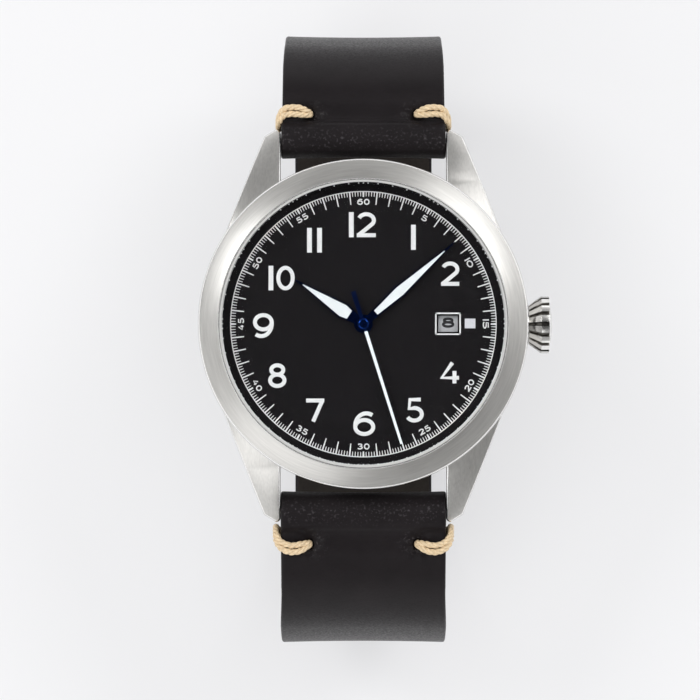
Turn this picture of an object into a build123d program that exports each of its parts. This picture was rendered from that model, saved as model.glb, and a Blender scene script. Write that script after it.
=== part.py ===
from build123d import *
import math
import os

# A self-winding field watch that stands on its buckled leather strap.
# The dial faces +Z, 12 o'clock is +Y and the crown points to +X. The origin is on the surface that
# the closed strap stands on, straight below the hands. All lengths are millimetres, angles degrees.

# Fits between pieces
RUN = 0.05                  # shaft in a hole, all round
AIR = 0.15                  # space between neighbours that pass each other
CUT = 2.0                   # how far a cutting body runs past what it cuts

# Case middle and lugs
BACK_Z = 44.5               # the case back's outer face above the standing surface
CASE_R = 19.7
CASE_H = 7.0
CASE_WALL = 2.35            # between the case's flank and its bore
CASE_EDGE = 0.5             # bevel round the lower edge
LUG_PLAY = 0.25             # between a lug and the strap's edge
LUG_OUT = 4.65              # how far the lug tips stand beyond the case's flank
LUG_TIP_W = 2.0
LUG_TIP_SLANT = 1.25
LUG_TIP_TOP = 3.3           # lug tip, upper and lower edge above the case back's face
LUG_TIP_LOW = 0.5
LUG_TILT = 12.0             # the lugs' backs fall away outwards by this angle
LUG_BULGE = 0.9             # how far the lug's back arches above its chord
LUG_RUN = 8.7               # how far inside the flank the lug's back leaves the case
LUG_CORNER_R = 0.45

# Case back and its gasket
BACK_T = 1.2
BACK_RIM_STEP = 1.1         # the case back is this much smaller than the case
BACK_COLLAR_H = 1.8
BACK_COLLAR_W = 1.1
BACK_SLOTS = 6              # notches for the case key
SLOT_W = 2.2
SLOT_L = 1.3
SLOT_DEPTH = 0.6
BACK_GASKET_W = 0.5
BACK_GASKET_H = 0.4

# Bezel, crystal, rehaut
BEZEL_LIP = 0.3             # how far the bezel overhangs the case
BEZEL_OUTER_H = 1.1
BEZEL_H = 2.2
BEZEL_CHAMFER = 0.25        # polished inner bevel
BEZEL_SHOULDER = 0.35       # rounded-off outer edge
CRYSTAL_SEAL_W = 0.25       # sleeve gasket between bezel and crystal
CRYSTAL_T = 1.6
CRYSTAL_DOME = 0.35
CRYSTAL_BEVEL = 0.25
REHAUT_W = 0.5
REHAUT_TOP_W = 0.37

# Movement: plates and levels
MOVE_R = 12.8
ROTOR_T = 0.9
ROTOR_WEB_T = 0.35
BRIDGE_T = 0.6
WHEEL_T = 0.15
DRUM_H = 1.1
TRAIN_GAP = 0.12            # between wheels that pass over each other
PLATE_T = 1.2
DIAL_T = 0.4
DATE_T = 0.25
PIVOT_R = 0.12
ARBOR_R = 0.22
TUBE_WALL = 0.12            # nested tubes on the hand axis
CANNON_WALL = 0.2
PIPE_WALL = 0.22

# Hands
HAND_T = 0.15
HOUR_SHORT = 7.15           # how far each hand's point stays inside the dial's rim
MINUTE_SHORT = 2.15
SECONDS_SHORT = 1.75
SECONDS_TAIL = 4.1
HUB_R = 0.72
HUB_STEP = 0.2              # each lower hub is this much wider
HOUR_WIDE = 1.95
HOUR_ROOT_W = 0.65
HOUR_WIDE_SHARE = 0.3       # widest place of the hand, as a share of its length
MINUTE_WIDE = 1.58
MINUTE_ROOT_W = 0.77
MINUTE_WIDE_SHARE = 0.4
HAND_FRAME = 0.2            # blued frame round the luminous filling
HAND_TIP_W = 0.2
LUME_FROM_SHARE = 1.8       # start of the filling, in hub radii
LUME_TO_SHARE = 0.89        # its end, as a share of the hand's length
SECONDS_W = 0.4
SECONDS_TIP_W = 0.3
SECONDS_TAIL_W = 0.6
HAND_GAP = 0.3              # between one hand and the next
LUME_T = 0.12
HOUR_ANGLE = -303.0         # rest pose, clockwise from 12 o'clock is negative
MINUTE_ANGLE = -48.1
SECONDS_ANGLE = -162.4

# Dial and date
DIAL_STEP = 0.4             # the dial is this much smaller than the case's bore
DATE_AT_X = 10.2
DATE_W = 2.6
DATE_H = 2.1
DATE_OUT_R = 11.9
DATE_IN_R = 8.6
DATE_DAYS = 31

# Gears: teeth and pitch radii
BARREL_TEETH = 72
BARREL_R = 5.04
CENTRE_PINION_TEETH = 12
CENTRE_TEETH = 60
CENTRE_R = 3.6
THIRD_PINION_TEETH = 8
THIRD_TEETH = 64
FOURTH_PINION_TEETH = 8
FOURTH_TEETH = 70
FOURTH_R = 3.5
ESCAPE_PINION_TEETH = 7
ESCAPE_TEETH = 20
ESCAPE_R = 2.1
CANNON_TEETH = 12
CANNON_R = 0.78
MINUTE_WHEEL_TEETH = 36
MINUTE_PINION_TEETH = 10
HOUR_TEETH = 40
TIP_SHARE = 0.7             # tooth above and below the pitch circle, in modules
ROOT_SHARE = 1.15
BARREL_DIR = 70.0           # directions from the hand axis, anticlockwise from 3 o'clock
THIRD_DIR = 200.0
ESCAPE_DIR = 265.0
BALANCE_DIR = 300.0
MINUTE_WHEEL_DIR = 150.0
BALANCE_DIST = 8.2
BALANCE_R = 4.1
RIM_W = 0.45
ROLLER_R = 0.5
FORK_W = 0.5
FORK_REACH = 1.5            # half spread of the pallets
SPRING_TURNS = 4
SPRING_PITCH = 0.4
SPRING_T = 0.12
SPRING_H = 0.15
RIM_H = 0.5
COCK_W = 2.6
PILLAR_INSET = 1.4          # pillars inside the movement's rim
PILLAR_R = 1.0
PILLAR_ANGLES = (35.0, 100.0, 150.0, 185.0, 240.0, 330.0)
FEET_ANGLES = (60.0, 225.0)
FOOT_R = 0.25
BARREL_BRIDGE_FROM = 22.0
BARREL_BRIDGE_TURN = 145.0
TRAIN_BRIDGE_FROM = 171.0
TRAIN_BRIDGE_TURN = 95.0
BRIDGE_WAIST = 3.4
BARREL_WAIST_FROM = 40.0    # the barrel bridge's inner corners, either side of the barrel
BARREL_WAIST_TO = 75.0
ROTOR_POST_R = 1.0
ROTOR_HUB_W = 1.2
ROTOR_RIM_W = 2.6
ROTOR_SCREW_T = 0.15

# Crown, stem and keyless work
STEM_UP = 5.2               # stem axis above the case back's face
CROWN_R = 3.45
CROWN_ROOT_R = 2.35         # cone's small end, next to the case
CROWN_CONE = 1.5
CROWN_BAND = 0.95
CROWN_CAP = 0.4
CROWN_GAP = 0.1
CROWN_FLUTES = 16
FLUTE_DEPTH = 0.45
FLUTE_SHARE = 0.36          # part of each pitch that the groove takes
CROWN_PULL = 1.2
TUBE_R = 1.15
TUBE_BORE_R = 0.75
TUBE_OUT = 1.0              # how far the tube stands out of the case
TUBE_IN = 1.9
STEM_R = 0.5
STEM_SQUARE = 0.7           # side of the square that drives the sliding pinion
STEM_PIVOT_R = 0.25
STEM_PIVOT_L = 1.0
STEM_END = 5.6              # inner end of the stem from the hand axis
STEM_NECK_R = 0.3
STEM_NECK_AT = 10.9
STEM_NECK_W = 0.8
CLUTCH_R = 0.85
CLUTCH_L = 1.8
CLUTCH_AT = 8.0
CLUTCH_TEETH = 8
CLUTCH_TOOTH = 0.25
LEVER_T = 0.3
LEVER_ARM = 3.0
LEVER_W = 0.8
LEVER_PIN_R = 0.25

# Spring bars
BAR_OUT = 2.9               # how far the bars stand outside the case's flank
BAR_UP = 2.0
BAR_R = 0.75
BAR_BORE_R = 0.45
BAR_TUBE_SHORT = 1.55       # from each end of the tube to the lug
TIP_R = 0.4
TIP_TRAVEL = 1.0
TIP_COLLAR_R = 0.68
TIP_COLLAR_W = 0.3
TIP_IN_LUG = 1.0
TIP_TAIL = 2.2

# Strap leather
LEATHER_T = 1.7
STRAP_W = 19.8
STRAP_TAPER = 1.8           # how much narrower the strap is at the buckle
TAPER_DROP = 20.0           # how far below the bars it starts to narrow
SHORT_REACH = 37.2          # how far each half bows out from the hand axis
LONG_REACH = 39.4
BOW_TURN = 70.0             # turn of the upper and of the lower bend
SIDE_R = 34.0               # gentle bend between them
FLAP_TURN = 40              # how much of the upper bend the folded flap follows
TAIL_TURN = 35.0
LAYER_GAP = 0.2
KEEPER_T = 1.7
KEEPER_W = 5.0
HOLE_R = 0.95
TANG_HOLE_L = 3.8
HOLE_PITCH = 7.0
SPARE_HOLES = 3
THREAD_R = 0.42
THREAD_SIDES = 6
THREAD_BEND = 0.5
STITCH_INSET = 3.0          # where the thread comes up through the leather, from the strap's edge
STITCH_SHORT_OUT = 1.45     # how far beyond the lugs it does, on the short and the long half
STITCH_LONG_OUT = 2.45
STITCH_RISE = 1.1           # how far its arc runs outwards along the strap
TAIL_TIP_L = 5.0

# Buckle
PIN_Y = -5.0
PIN_R = 0.6
FOLD_T = 1.3                # leather pared down where it wraps the buckle pin
FRAME_GAP = 0.3             # strap edge to rail
RAIL_W = 1.4
BAR_FRONT_Y = -17.2
BAR_DEPTH = 2.2
EAR_R = 1.25
TANG_W = 1.5
TANG_T = 0.8
TANG_SLOT_W = 2.3
FREE_KEEPER_Y = 10.0
KEEPER_SLIDE = 3.0

# Screws
SCREW_HEAD_R = 0.75
SCREW_HEAD_H = 0.35
SCREW_R = 0.35
SCREW_SLOT = 0.18

os.makedirs("parts", exist_ok=True)

BASE = (Align.CENTER, Align.CENTER, Align.MIN)

# Sizes that follow from the case and the strap
case_bore_r = CASE_R - CASE_WALL
back_rim_r = CASE_R - BACK_RIM_STEP
bezel_r = CASE_R + BEZEL_LIP
crystal_r = case_bore_r - CRYSTAL_SEAL_W
dial_r = case_bore_r - DIAL_STEP
hour_len = dial_r - HOUR_SHORT
minute_len = dial_r - MINUTE_SHORT
seconds_len = dial_r - SECONDS_SHORT
lug_reach = CASE_R + LUG_OUT
lug_gap = STRAP_W + 2 * LUG_PLAY
bar_y = CASE_R + BAR_OUT
bar_half = lug_gap / 2 - BAR_TUBE_SHORT
strap_end_w = STRAP_W - STRAP_TAPER
stitch_x = STRAP_W / 2 - STITCH_INSET

# Heights of the stack, from the case back's outer face up
case_base = BACK_Z + BACK_T
case_top = case_base + CASE_H
rotor_z = BACK_Z + BACK_T + 2 * AIR
bridge_z = rotor_z + ROTOR_T + AIR
bridge_top = bridge_z + BRIDGE_T
fourth_z = bridge_top + TRAIN_GAP
drum_z = fourth_z + WHEEL_T + TRAIN_GAP
third_z = drum_z + DRUM_H / 3
barrel_teeth_z = drum_z + DRUM_H - 2 * WHEEL_T - TRAIN_GAP
escape_z = third_z + WHEEL_T + TRAIN_GAP
centre_z = drum_z + DRUM_H + TRAIN_GAP
plate_z = centre_z + WHEEL_T + TRAIN_GAP
plate_top = plate_z + PLATE_T
motion_z = plate_top + RUN
date_z = plate_top + RUN
hour_wheel_z = motion_z + 2 * WHEEL_T + RUN
dial_z = max(date_z + DATE_T, hour_wheel_z + WHEEL_T) + AIR
dial_top = dial_z + DIAL_T
hour_z = dial_top + HAND_GAP
minute_z = hour_z + HAND_T + HAND_GAP
seconds_z = minute_z + HAND_T + HAND_GAP
crystal_z = case_top + BEZEL_H - CRYSTAL_T
stem_z = BACK_Z + STEM_UP
bar_z = BACK_Z + BAR_UP


def polar(distance, direction):
    """A place that far from the hand axis, in that direction."""
    turn = math.radians(direction)
    return (distance * math.cos(turn), distance * math.sin(turn))


def level(place, height):
    """A level plane with its origin over a place of the movement."""
    return Plane(origin=(place[0], place[1], height))


def turned(*corners, at=(0, 0)):
    """Material turned about an upright axis: corners are (radius, height) in order."""
    with BuildSketch(Plane(origin=(at[0], at[1], 0), x_dir=(1, 0, 0), z_dir=(0, -1, 0))) as outline:
        with BuildLine():
            Polyline(*corners, close=True)
        make_face()
    revolve(outline.sketch, axis=Axis((at[0], at[1], 0), (0, 0, 1)))


def post(at, low, high, radius, mode=Mode.ADD):
    """An upright round post between two heights, or a hole there."""
    with Locations((at[0], at[1], low)):
        Cylinder(radius, high - low, align=BASE, mode=mode)


def rod(start, finish, y, z, radius, mode=Mode.ADD):
    """A round rod along X between two places, or a hole there."""
    with Locations(Location((start, y, z), (0, 90, 0))):
        Cylinder(radius, finish - start, align=BASE, mode=mode)


def toothed(at, height, thickness, teeth, radius, phase=0.0):
    """A wheel with pointed teeth about a pitch radius, one tip in the direction of the phase."""
    module = 2 * radius / teeth
    corners = []
    for step in range(2 * teeth):
        reach = radius + (TIP_SHARE if step % 2 == 0 else -ROOT_SHARE) * module
        corners.append(polar(reach, phase + 180 * step / teeth))
    with BuildSketch(level(at, height)) as outline:
        with BuildLine():
            Polyline(*corners, close=True)
        make_face()
    extrude(outline.sketch, amount=thickness)


def write(piece, name):
    """Labels a finished piece and writes its file."""
    piece.label = name
    export_step(piece, "parts/" + name + ".step")


# Case middle. The four lugs are one plan outline, mirrored twice, cut to the arched side view. Their
# backs carry on the fall of the bezel: the side view is swept outwards and down.
lug_corner = (lug_gap / 2 + LUG_TIP_W, lug_reach - LUG_TIP_SLANT)
lug_bearing = math.atan2(lug_corner[1], lug_corner[0]) - math.acos(CASE_R / math.hypot(*lug_corner))
lug_root = polar(CASE_R, math.degrees(lug_bearing))
wall_mid = (CASE_R + case_bore_r) / 2
lug_inner_y = math.sqrt(wall_mid ** 2 - (lug_gap / 2) ** 2)
lug_start = CASE_R - LUG_RUN
lug_fall = math.radians(LUG_TILT)
lug_mid = ((lug_start + lug_reach) / 2, (case_top + BACK_Z + LUG_TIP_TOP) / 2 + LUG_BULGE)

with BuildPart() as lugs:
    with BuildSketch(Plane.XY.offset(BACK_Z)):
        with BuildLine():
            Polyline((lug_gap / 2, lug_inner_y), (lug_gap / 2, lug_reach), lug_corner, lug_root, close=True)
        make_face()
        fillet(vertices().sort_by(Axis.Y)[-2:], LUG_CORNER_R)
        mirror(about=Plane.YZ)
        mirror(about=Plane.XZ)
    extrude(amount=BACK_T + CASE_H)
    with BuildSketch(Plane.YZ):
        with BuildLine():
            Polyline((0, case_top), (lug_reach, case_top), (lug_reach, BACK_Z + LUG_TIP_LOW),
                     (CASE_R, case_base), (0, case_base), close=True)
        make_face()
        mirror(about=Plane.YZ)
    extrude(amount=lug_reach, both=True, mode=Mode.INTERSECT)
    with BuildPart(mode=Mode.PRIVATE) as backs:
        with BuildSketch(Plane.YZ.offset(lug_gap / 2)):
            with BuildLine():
                arch = ThreePointArc((lug_start, case_top), lug_mid, (lug_reach, BACK_Z + LUG_TIP_TOP))
                Polyline(arch @ 1, (lug_reach, 0), (0, 0), (0, case_top), arch @ 0)
            make_face()
            mirror(about=Plane.YZ)
        extrude(amount=lug_reach, dir=(math.cos(lug_fall), 0, -math.sin(lug_fall)))
        mirror(about=Plane.YZ)
    add(backs.part, mode=Mode.INTERSECT)

gasket_mid = (case_bore_r + back_rim_r) / 2

with BuildPart() as case_body:
    turned((0, case_base), (CASE_R - CASE_EDGE, case_base), (CASE_R, case_base + CASE_EDGE),
           (CASE_R, case_top), (0, case_top))
    add(lugs.part)
    post((0, 0), case_base - CUT, case_top + CUT, case_bore_r, mode=Mode.SUBTRACT)
    # groove for the case back's gasket
    with BuildSketch(Plane.XY.offset(case_base)):
        Circle(gasket_mid + BACK_GASKET_W / 2)
        Circle(gasket_mid - BACK_GASKET_W / 2, mode=Mode.SUBTRACT)
    extrude(amount=BACK_GASKET_H, mode=Mode.SUBTRACT)
    rod(case_bore_r - CUT, CASE_R + CUT, 0, stem_z, TUBE_R, mode=Mode.SUBTRACT)
    for side in (-1, 1):
        rod(-lug_gap / 2 - TIP_IN_LUG - RUN, lug_gap / 2 + TIP_IN_LUG + RUN, side * bar_y, bar_z,
            TIP_R + RUN, mode=Mode.SUBTRACT)
write(case_body.part, "case_body")

# Screwed case back with six notches for the key, and its gasket in the case's groove
collar_out = case_bore_r - RUN
with BuildPart() as caseback:
    turned((0, BACK_Z), (back_rim_r - BACK_T / 3, BACK_Z), (back_rim_r, BACK_Z + BACK_T / 3),
           (back_rim_r, case_base), (collar_out, case_base), (collar_out, case_base + BACK_COLLAR_H),
           (collar_out - BACK_COLLAR_W, case_base + BACK_COLLAR_H), (collar_out - BACK_COLLAR_W, case_base),
           (0, case_base))
    with BuildSketch(Plane.XY.offset(BACK_Z)):
        with PolarLocations(back_rim_r - SLOT_L, BACK_SLOTS):
            Rectangle(SLOT_L, SLOT_W)
    extrude(amount=SLOT_DEPTH, mode=Mode.SUBTRACT)
write(caseback.part, "caseback")

with BuildPart() as caseback_gasket:
    with BuildSketch(Plane.XY.offset(case_base)):
        Circle(gasket_mid + BACK_GASKET_W / 2)
        Circle(gasket_mid - BACK_GASKET_W / 2, mode=Mode.SUBTRACT)
    extrude(amount=BACK_GASKET_H)
write(caseback_gasket.part, "caseback_gasket")

# Bezel: upright flank, rounded shoulder, gently sloped brushed top, polished inner bevel
bezel_top = case_top + BEZEL_H
with BuildPart() as bezel:
    turned((case_bore_r, case_top), (bezel_r, case_top), (bezel_r, case_top + BEZEL_OUTER_H),
           (bezel_r - BEZEL_SHOULDER, case_top + BEZEL_OUTER_H + BEZEL_SHOULDER),
           (case_bore_r + BEZEL_CHAMFER, bezel_top), (case_bore_r, bezel_top - BEZEL_CHAMFER))
write(bezel.part, "bezel")

# Crystal with a bevelled edge and a slight dome, and the sleeve gasket that holds it in the bezel
with BuildPart() as crystal:
    turned((0, crystal_z), (crystal_r, crystal_z), (crystal_r, bezel_top - CRYSTAL_BEVEL),
           (crystal_r - CRYSTAL_BEVEL, bezel_top), (crystal_r / 2, bezel_top + CRYSTAL_DOME * 3 / 4),
           (0, bezel_top + CRYSTAL_DOME))
write(crystal.part, "crystal")

with BuildPart() as crystal_gasket:
    turned((crystal_r, crystal_z), (case_bore_r, crystal_z), (case_bore_r, bezel_top - BEZEL_CHAMFER),
           (crystal_r, bezel_top - BEZEL_CHAMFER))
write(crystal_gasket.part, "crystal_gasket")

# Rehaut: the polished ring between dial and crystal
with BuildPart() as rehaut_ring:
    turned((case_bore_r - REHAUT_W, dial_top), (case_bore_r, dial_top), (case_bore_r, crystal_z),
           (case_bore_r - REHAUT_TOP_W, crystal_z))
write(rehaut_ring.part, "rehaut_ring")

# Movement holder: a ring that fills the case round the movement and carries the dial's rim
holder_z = case_base + BACK_COLLAR_H
with BuildPart() as movement_holder:
    with BuildSketch(Plane.XY.offset(holder_z)):
        Circle(case_bore_r - RUN)
        Circle(MOVE_R + AIR, mode=Mode.SUBTRACT)
    extrude(amount=dial_z - holder_z)
    rod(MOVE_R - CUT, case_bore_r + CUT, 0, stem_z, TUBE_R + RUN, mode=Mode.SUBTRACT)
    # the plate's flange sits in a step, so the movement can't drop towards the back
    post((0, 0), plate_top - PLATE_T / 3, dial_z + CUT, MOVE_R + 4 * AIR, mode=Mode.SUBTRACT)
write(movement_holder.part, "movement_holder")

# Places of the wheels, each a pitch-circle distance from its neighbour
third_dist = CENTRE_R * (1 + THIRD_PINION_TEETH / CENTRE_TEETH)
centre_pinion_r = BARREL_R * CENTRE_PINION_TEETH / BARREL_TEETH
third_pinion_r = third_dist - CENTRE_R
third_r = third_dist * THIRD_TEETH / (THIRD_TEETH + FOURTH_PINION_TEETH)
fourth_pinion_r = third_dist - third_r
escape_pinion_r = FOURTH_R * ESCAPE_PINION_TEETH / FOURTH_TEETH
minute_wheel_r = CANNON_R * MINUTE_WHEEL_TEETH / CANNON_TEETH
minute_dist = CANNON_R + minute_wheel_r
hour_r = minute_dist * HOUR_TEETH / (HOUR_TEETH + MINUTE_PINION_TEETH)
minute_pinion_r = minute_dist - hour_r
centre = (0, 0)
barrel_at = polar(BARREL_R + centre_pinion_r, BARREL_DIR)
third_at = polar(third_dist, THIRD_DIR)
escape_at = polar(FOURTH_R + escape_pinion_r, ESCAPE_DIR)
balance_at = polar(BALANCE_DIST, BALANCE_DIR)
minute_wheel_at = polar(minute_dist, MINUTE_WHEEL_DIR)

# The pallet fork's pivot lies on the line from the escape wheel to the balance
fork_line = (balance_at[0] - escape_at[0], balance_at[1] - escape_at[1])
fork_gap = math.hypot(*fork_line)
fork_turn = math.degrees(math.atan2(fork_line[1], fork_line[0]))
fork_reach = ESCAPE_R + 4 * FORK_W / 3
fork_at = (escape_at[0] + fork_line[0] * fork_reach / fork_gap,
           escape_at[1] + fork_line[1] * fork_reach / fork_gap)
fork_plane = Plane(origin=(fork_at[0], fork_at[1], escape_z)).rotated((0, 0, fork_turn))
lever_len = fork_gap - fork_reach - ROLLER_R - RUN

# Nested tubes on the hand axis, from the seconds arbor outwards
seconds_arbor_r = PIVOT_R
centre_tube_in = seconds_arbor_r + RUN
centre_tube_out = centre_tube_in + TUBE_WALL
cannon_out = centre_tube_out + CANNON_WALL
hour_pipe_in = cannon_out + RUN
hour_pipe_out = hour_pipe_in + PIPE_WALL


# Main plate: carries the train from above and the dial work on top. Its flange hangs in the holder.
plate_pivots = (third_at, escape_at, fork_at, balance_at, barrel_at)
screw_spots = [polar(MOVE_R - PILLAR_INSET, turn) for turn in PILLAR_ANGLES]
feet_spots = [polar(DATE_OUT_R + (MOVE_R - DATE_OUT_R) / 2, turn) for turn in FEET_ANGLES]
lever_at = (STEM_NECK_AT, LEVER_ARM)
square_from = STEM_END + STEM_PIVOT_L
with BuildPart() as main_plate:
    post(centre, plate_z, plate_top, MOVE_R)
    post(centre, plate_top - PLATE_T / 3, plate_top, MOVE_R + 3 * AIR)
    # raised rim that keeps the date ring central
    with BuildSketch(Plane.XY.offset(plate_top)):
        Circle(DATE_OUT_R + AIR + RIM_W)
        Circle(DATE_OUT_R + AIR, mode=Mode.SUBTRACT)
    extrude(amount=DATE_T)
    post(centre, plate_z - CUT, plate_top + CUT, centre_tube_out + RUN, mode=Mode.SUBTRACT)
    for spot in plate_pivots:
        post(spot, plate_z - CUT, plate_z + PLATE_T / 2, ARBOR_R + RUN, mode=Mode.SUBTRACT)
    for spot in feet_spots:
        post(spot, plate_z + PLATE_T / 4, plate_top + CUT, FOOT_R + RUN, mode=Mode.SUBTRACT)
    for spot in screw_spots:
        post(spot, plate_z - CUT, plate_z + PLATE_T / 2, SCREW_R, mode=Mode.SUBTRACT)
    post(lever_at, plate_z - CUT, plate_z + PLATE_T / 2, LEVER_PIN_R + RUN, mode=Mode.SUBTRACT)
    post(minute_wheel_at, plate_z + PLATE_T / 2, plate_top + CUT, ARBOR_R, mode=Mode.SUBTRACT)
    # channel for the stem, with the pocket for the sliding pinion
    with Locations((MOVE_R / 2 + CUT + square_from / 2, 0, stem_z)):
        Box(MOVE_R + 2 * CUT - square_from + 2 * AIR, 2 * (STEM_R + RUN), 2 * (STEM_R + RUN),
            mode=Mode.SUBTRACT)
    with Locations((square_from, 0, stem_z)):
        Box(2 * STEM_PIVOT_L + 2 * AIR, 2 * (STEM_PIVOT_R + RUN), 2 * (STEM_PIVOT_R + RUN),
            mode=Mode.SUBTRACT)
    with BuildSketch(Plane.XY.offset(plate_z - CUT)):
        with Locations((CLUTCH_AT + CLUTCH_L / 2, 0)):
            Rectangle(CLUTCH_L + 2 * AIR, 2 * (CLUTCH_R + AIR))
    extrude(amount=PLATE_T + 2 * CUT, mode=Mode.SUBTRACT)
write(main_plate.part, "main_plate")

# Bridges under the train. Each stands on its pillars, with a sunk slotted screw through each pillar.
bridge_r = MOVE_R - AIR


def bridge_pillar(spot):
    """A pillar up to the main plate, bored for its screw, with the head's seat below."""
    post(spot, bridge_z, plate_z, PILLAR_R)
    post(spot, bridge_z - CUT, plate_z + CUT, SCREW_R, mode=Mode.SUBTRACT)
    post(spot, bridge_z - CUT, bridge_z + SCREW_HEAD_H, SCREW_HEAD_R, mode=Mode.SUBTRACT)


with BuildPart() as barrel_bridge:
    with BuildSketch(Plane.XY.offset(bridge_z)):
        with BuildLine():
            rim = CenterArc((0, 0), bridge_r, BARREL_BRIDGE_FROM, BARREL_BRIDGE_TURN)
            Polyline(rim @ 1, polar(BRIDGE_WAIST, BARREL_DIR + BARREL_WAIST_TO),
                     polar(BRIDGE_WAIST, BARREL_DIR - BARREL_WAIST_FROM), rim @ 0)
        make_face()
    extrude(amount=BRIDGE_T)
    for spot in screw_spots[:3]:
        bridge_pillar(spot)
    post(barrel_at, bridge_z - CUT, bridge_top + CUT, ARBOR_R + RUN, mode=Mode.SUBTRACT)
write(barrel_bridge.part, "barrel_bridge")

with BuildPart() as train_bridge:
    with BuildSketch(Plane.XY.offset(bridge_z)):
        with BuildLine():
            rim = CenterArc((0, 0), bridge_r, TRAIN_BRIDGE_FROM, TRAIN_BRIDGE_TURN)
            Polyline(rim @ 1, polar(BRIDGE_WAIST / 2, BALANCE_DIR), rim @ 0)
        make_face()
        Circle(ROTOR_POST_R + RIM_W)
    extrude(amount=BRIDGE_T)
    post(centre, rotor_z, bridge_z, ROTOR_POST_R)
    for spot in screw_spots[3:5]:
        bridge_pillar(spot)
    post(centre, bridge_z + BRIDGE_T / 3, bridge_top + CUT, PIVOT_R + RUN, mode=Mode.SUBTRACT)
    for spot in (third_at, escape_at):
        post(spot, bridge_z - CUT, bridge_top + CUT, PIVOT_R + RUN, mode=Mode.SUBTRACT)
write(train_bridge.part, "train_bridge")

cock_foot = screw_spots[5]
cock_len = math.hypot(cock_foot[0] - balance_at[0], cock_foot[1] - balance_at[1])
cock_turn = math.degrees(math.atan2(cock_foot[1] - balance_at[1], cock_foot[0] - balance_at[0]))
with BuildPart() as balance_cock:
    with BuildSketch(Plane(origin=(balance_at[0], balance_at[1], bridge_z)).rotated((0, 0, cock_turn))):
        with Locations((cock_len / 2, 0)):
            SlotCenterToCenter(cock_len, COCK_W)
    extrude(amount=BRIDGE_T)
    bridge_pillar(cock_foot)
    post(balance_at, bridge_z - CUT, bridge_top + CUT, PIVOT_R + RUN, mode=Mode.SUBTRACT)
write(balance_cock.part, "balance_cock")

with BuildPart() as bridge_screws:
    for spot in screw_spots:
        post(spot, bridge_z, bridge_z + SCREW_HEAD_H, SCREW_HEAD_R)
        post(spot, bridge_z + SCREW_HEAD_H, plate_z + PLATE_T / 2, SCREW_R)
        with Locations((spot[0], spot[1], bridge_z)):
            Box(2 * SCREW_HEAD_R, SCREW_SLOT, SCREW_HEAD_H, mode=Mode.SUBTRACT)
write(bridge_screws.part, "bridge_screws")


def arbor(at, low, high):
    """A wheel's shaft with a thinner pivot in the bridge and its upper end in the main plate."""
    post(at, low, bridge_top + RUN, PIVOT_R)
    post(at, bridge_top + RUN, high, ARBOR_R)


# Mainspring barrel: a closed drum with its teeth near the top, and the arbor it turns on
with BuildPart() as barrel:
    post(barrel_at, drum_z, drum_z + DRUM_H, BARREL_R - 3 * AIR)
    toothed(barrel_at, barrel_teeth_z, 2 * WHEEL_T, BARREL_TEETH, BARREL_R, BARREL_DIR + 180)
    post(barrel_at, drum_z - CUT, drum_z + DRUM_H + CUT, ARBOR_R + RUN, mode=Mode.SUBTRACT)
write(barrel.part, "barrel")

with BuildPart() as barrel_arbor:
    post(barrel_at, bridge_z, plate_z + PLATE_T / 3, ARBOR_R)
write(barrel_arbor.part, "barrel_arbor")

# Going train. Each pinion has a gap where the wheel that drives it has a tooth.
half_pinion = 180 / CENTRE_PINION_TEETH
with BuildPart() as centre_wheel:
    toothed(centre, centre_z, WHEEL_T, CENTRE_TEETH, CENTRE_R, THIRD_DIR)
    toothed(centre, barrel_teeth_z, centre_z - barrel_teeth_z, CENTRE_PINION_TEETH, centre_pinion_r,
            BARREL_DIR + half_pinion)
    post(centre, centre_z, motion_z + 3 * WHEEL_T, centre_tube_out)
    post(centre, barrel_teeth_z - CUT, plate_top + CUT, centre_tube_in, mode=Mode.SUBTRACT)
write(centre_wheel.part, "centre_wheel")

with BuildPart() as third_wheel:
    toothed(third_at, third_z, WHEEL_T, THIRD_TEETH, third_r, THIRD_DIR + 180)
    toothed(third_at, centre_z - RUN, WHEEL_T + 2 * RUN, THIRD_PINION_TEETH, third_pinion_r,
            THIRD_DIR + 180 + 180 / THIRD_PINION_TEETH)
    arbor(third_at, bridge_z + RUN, plate_z + PLATE_T / 3)
write(third_wheel.part, "third_wheel")

seconds_top = seconds_z + HAND_T
with BuildPart() as fourth_wheel:
    toothed(centre, fourth_z, WHEEL_T, FOURTH_TEETH, FOURTH_R, ESCAPE_DIR)
    toothed(centre, fourth_z, third_z + WHEEL_T + RUN - fourth_z, FOURTH_PINION_TEETH, fourth_pinion_r,
            THIRD_DIR + 180 / FOURTH_PINION_TEETH)
    post(centre, bridge_z + BRIDGE_T / 3 + RUN, seconds_top, seconds_arbor_r)
write(fourth_wheel.part, "fourth_wheel")

# Escapement: club-like teeth, a two-armed fork and the balance with its spring
with BuildPart() as escape_wheel:
    toothed(escape_at, escape_z, WHEEL_T, ESCAPE_TEETH, ESCAPE_R, BALANCE_DIR)
    toothed(escape_at, fourth_z - RUN, WHEEL_T + 2 * RUN, ESCAPE_PINION_TEETH, escape_pinion_r,
            ESCAPE_DIR + 180 + 180 / ESCAPE_PINION_TEETH)
    arbor(escape_at, bridge_z + RUN, plate_z + PLATE_T / 3)
write(escape_wheel.part, "escape_wheel")

balance_z = fourth_z + WHEEL_T + RUN
with BuildPart() as balance_wheel:
    with BuildSketch(level(balance_at, balance_z)):
        Circle(BALANCE_R)
        Circle(BALANCE_R - RIM_W, mode=Mode.SUBTRACT)
        Rectangle(2 * BALANCE_R - RIM_W, RIM_W)
        Circle(RIM_W)
    extrude(amount=RIM_H)
    arbor(balance_at, bridge_z + RUN, plate_z + PLATE_T / 3)
    post(balance_at, escape_z, escape_z + WHEEL_T, ROLLER_R)
write(balance_wheel.part, "balance_wheel")

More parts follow.
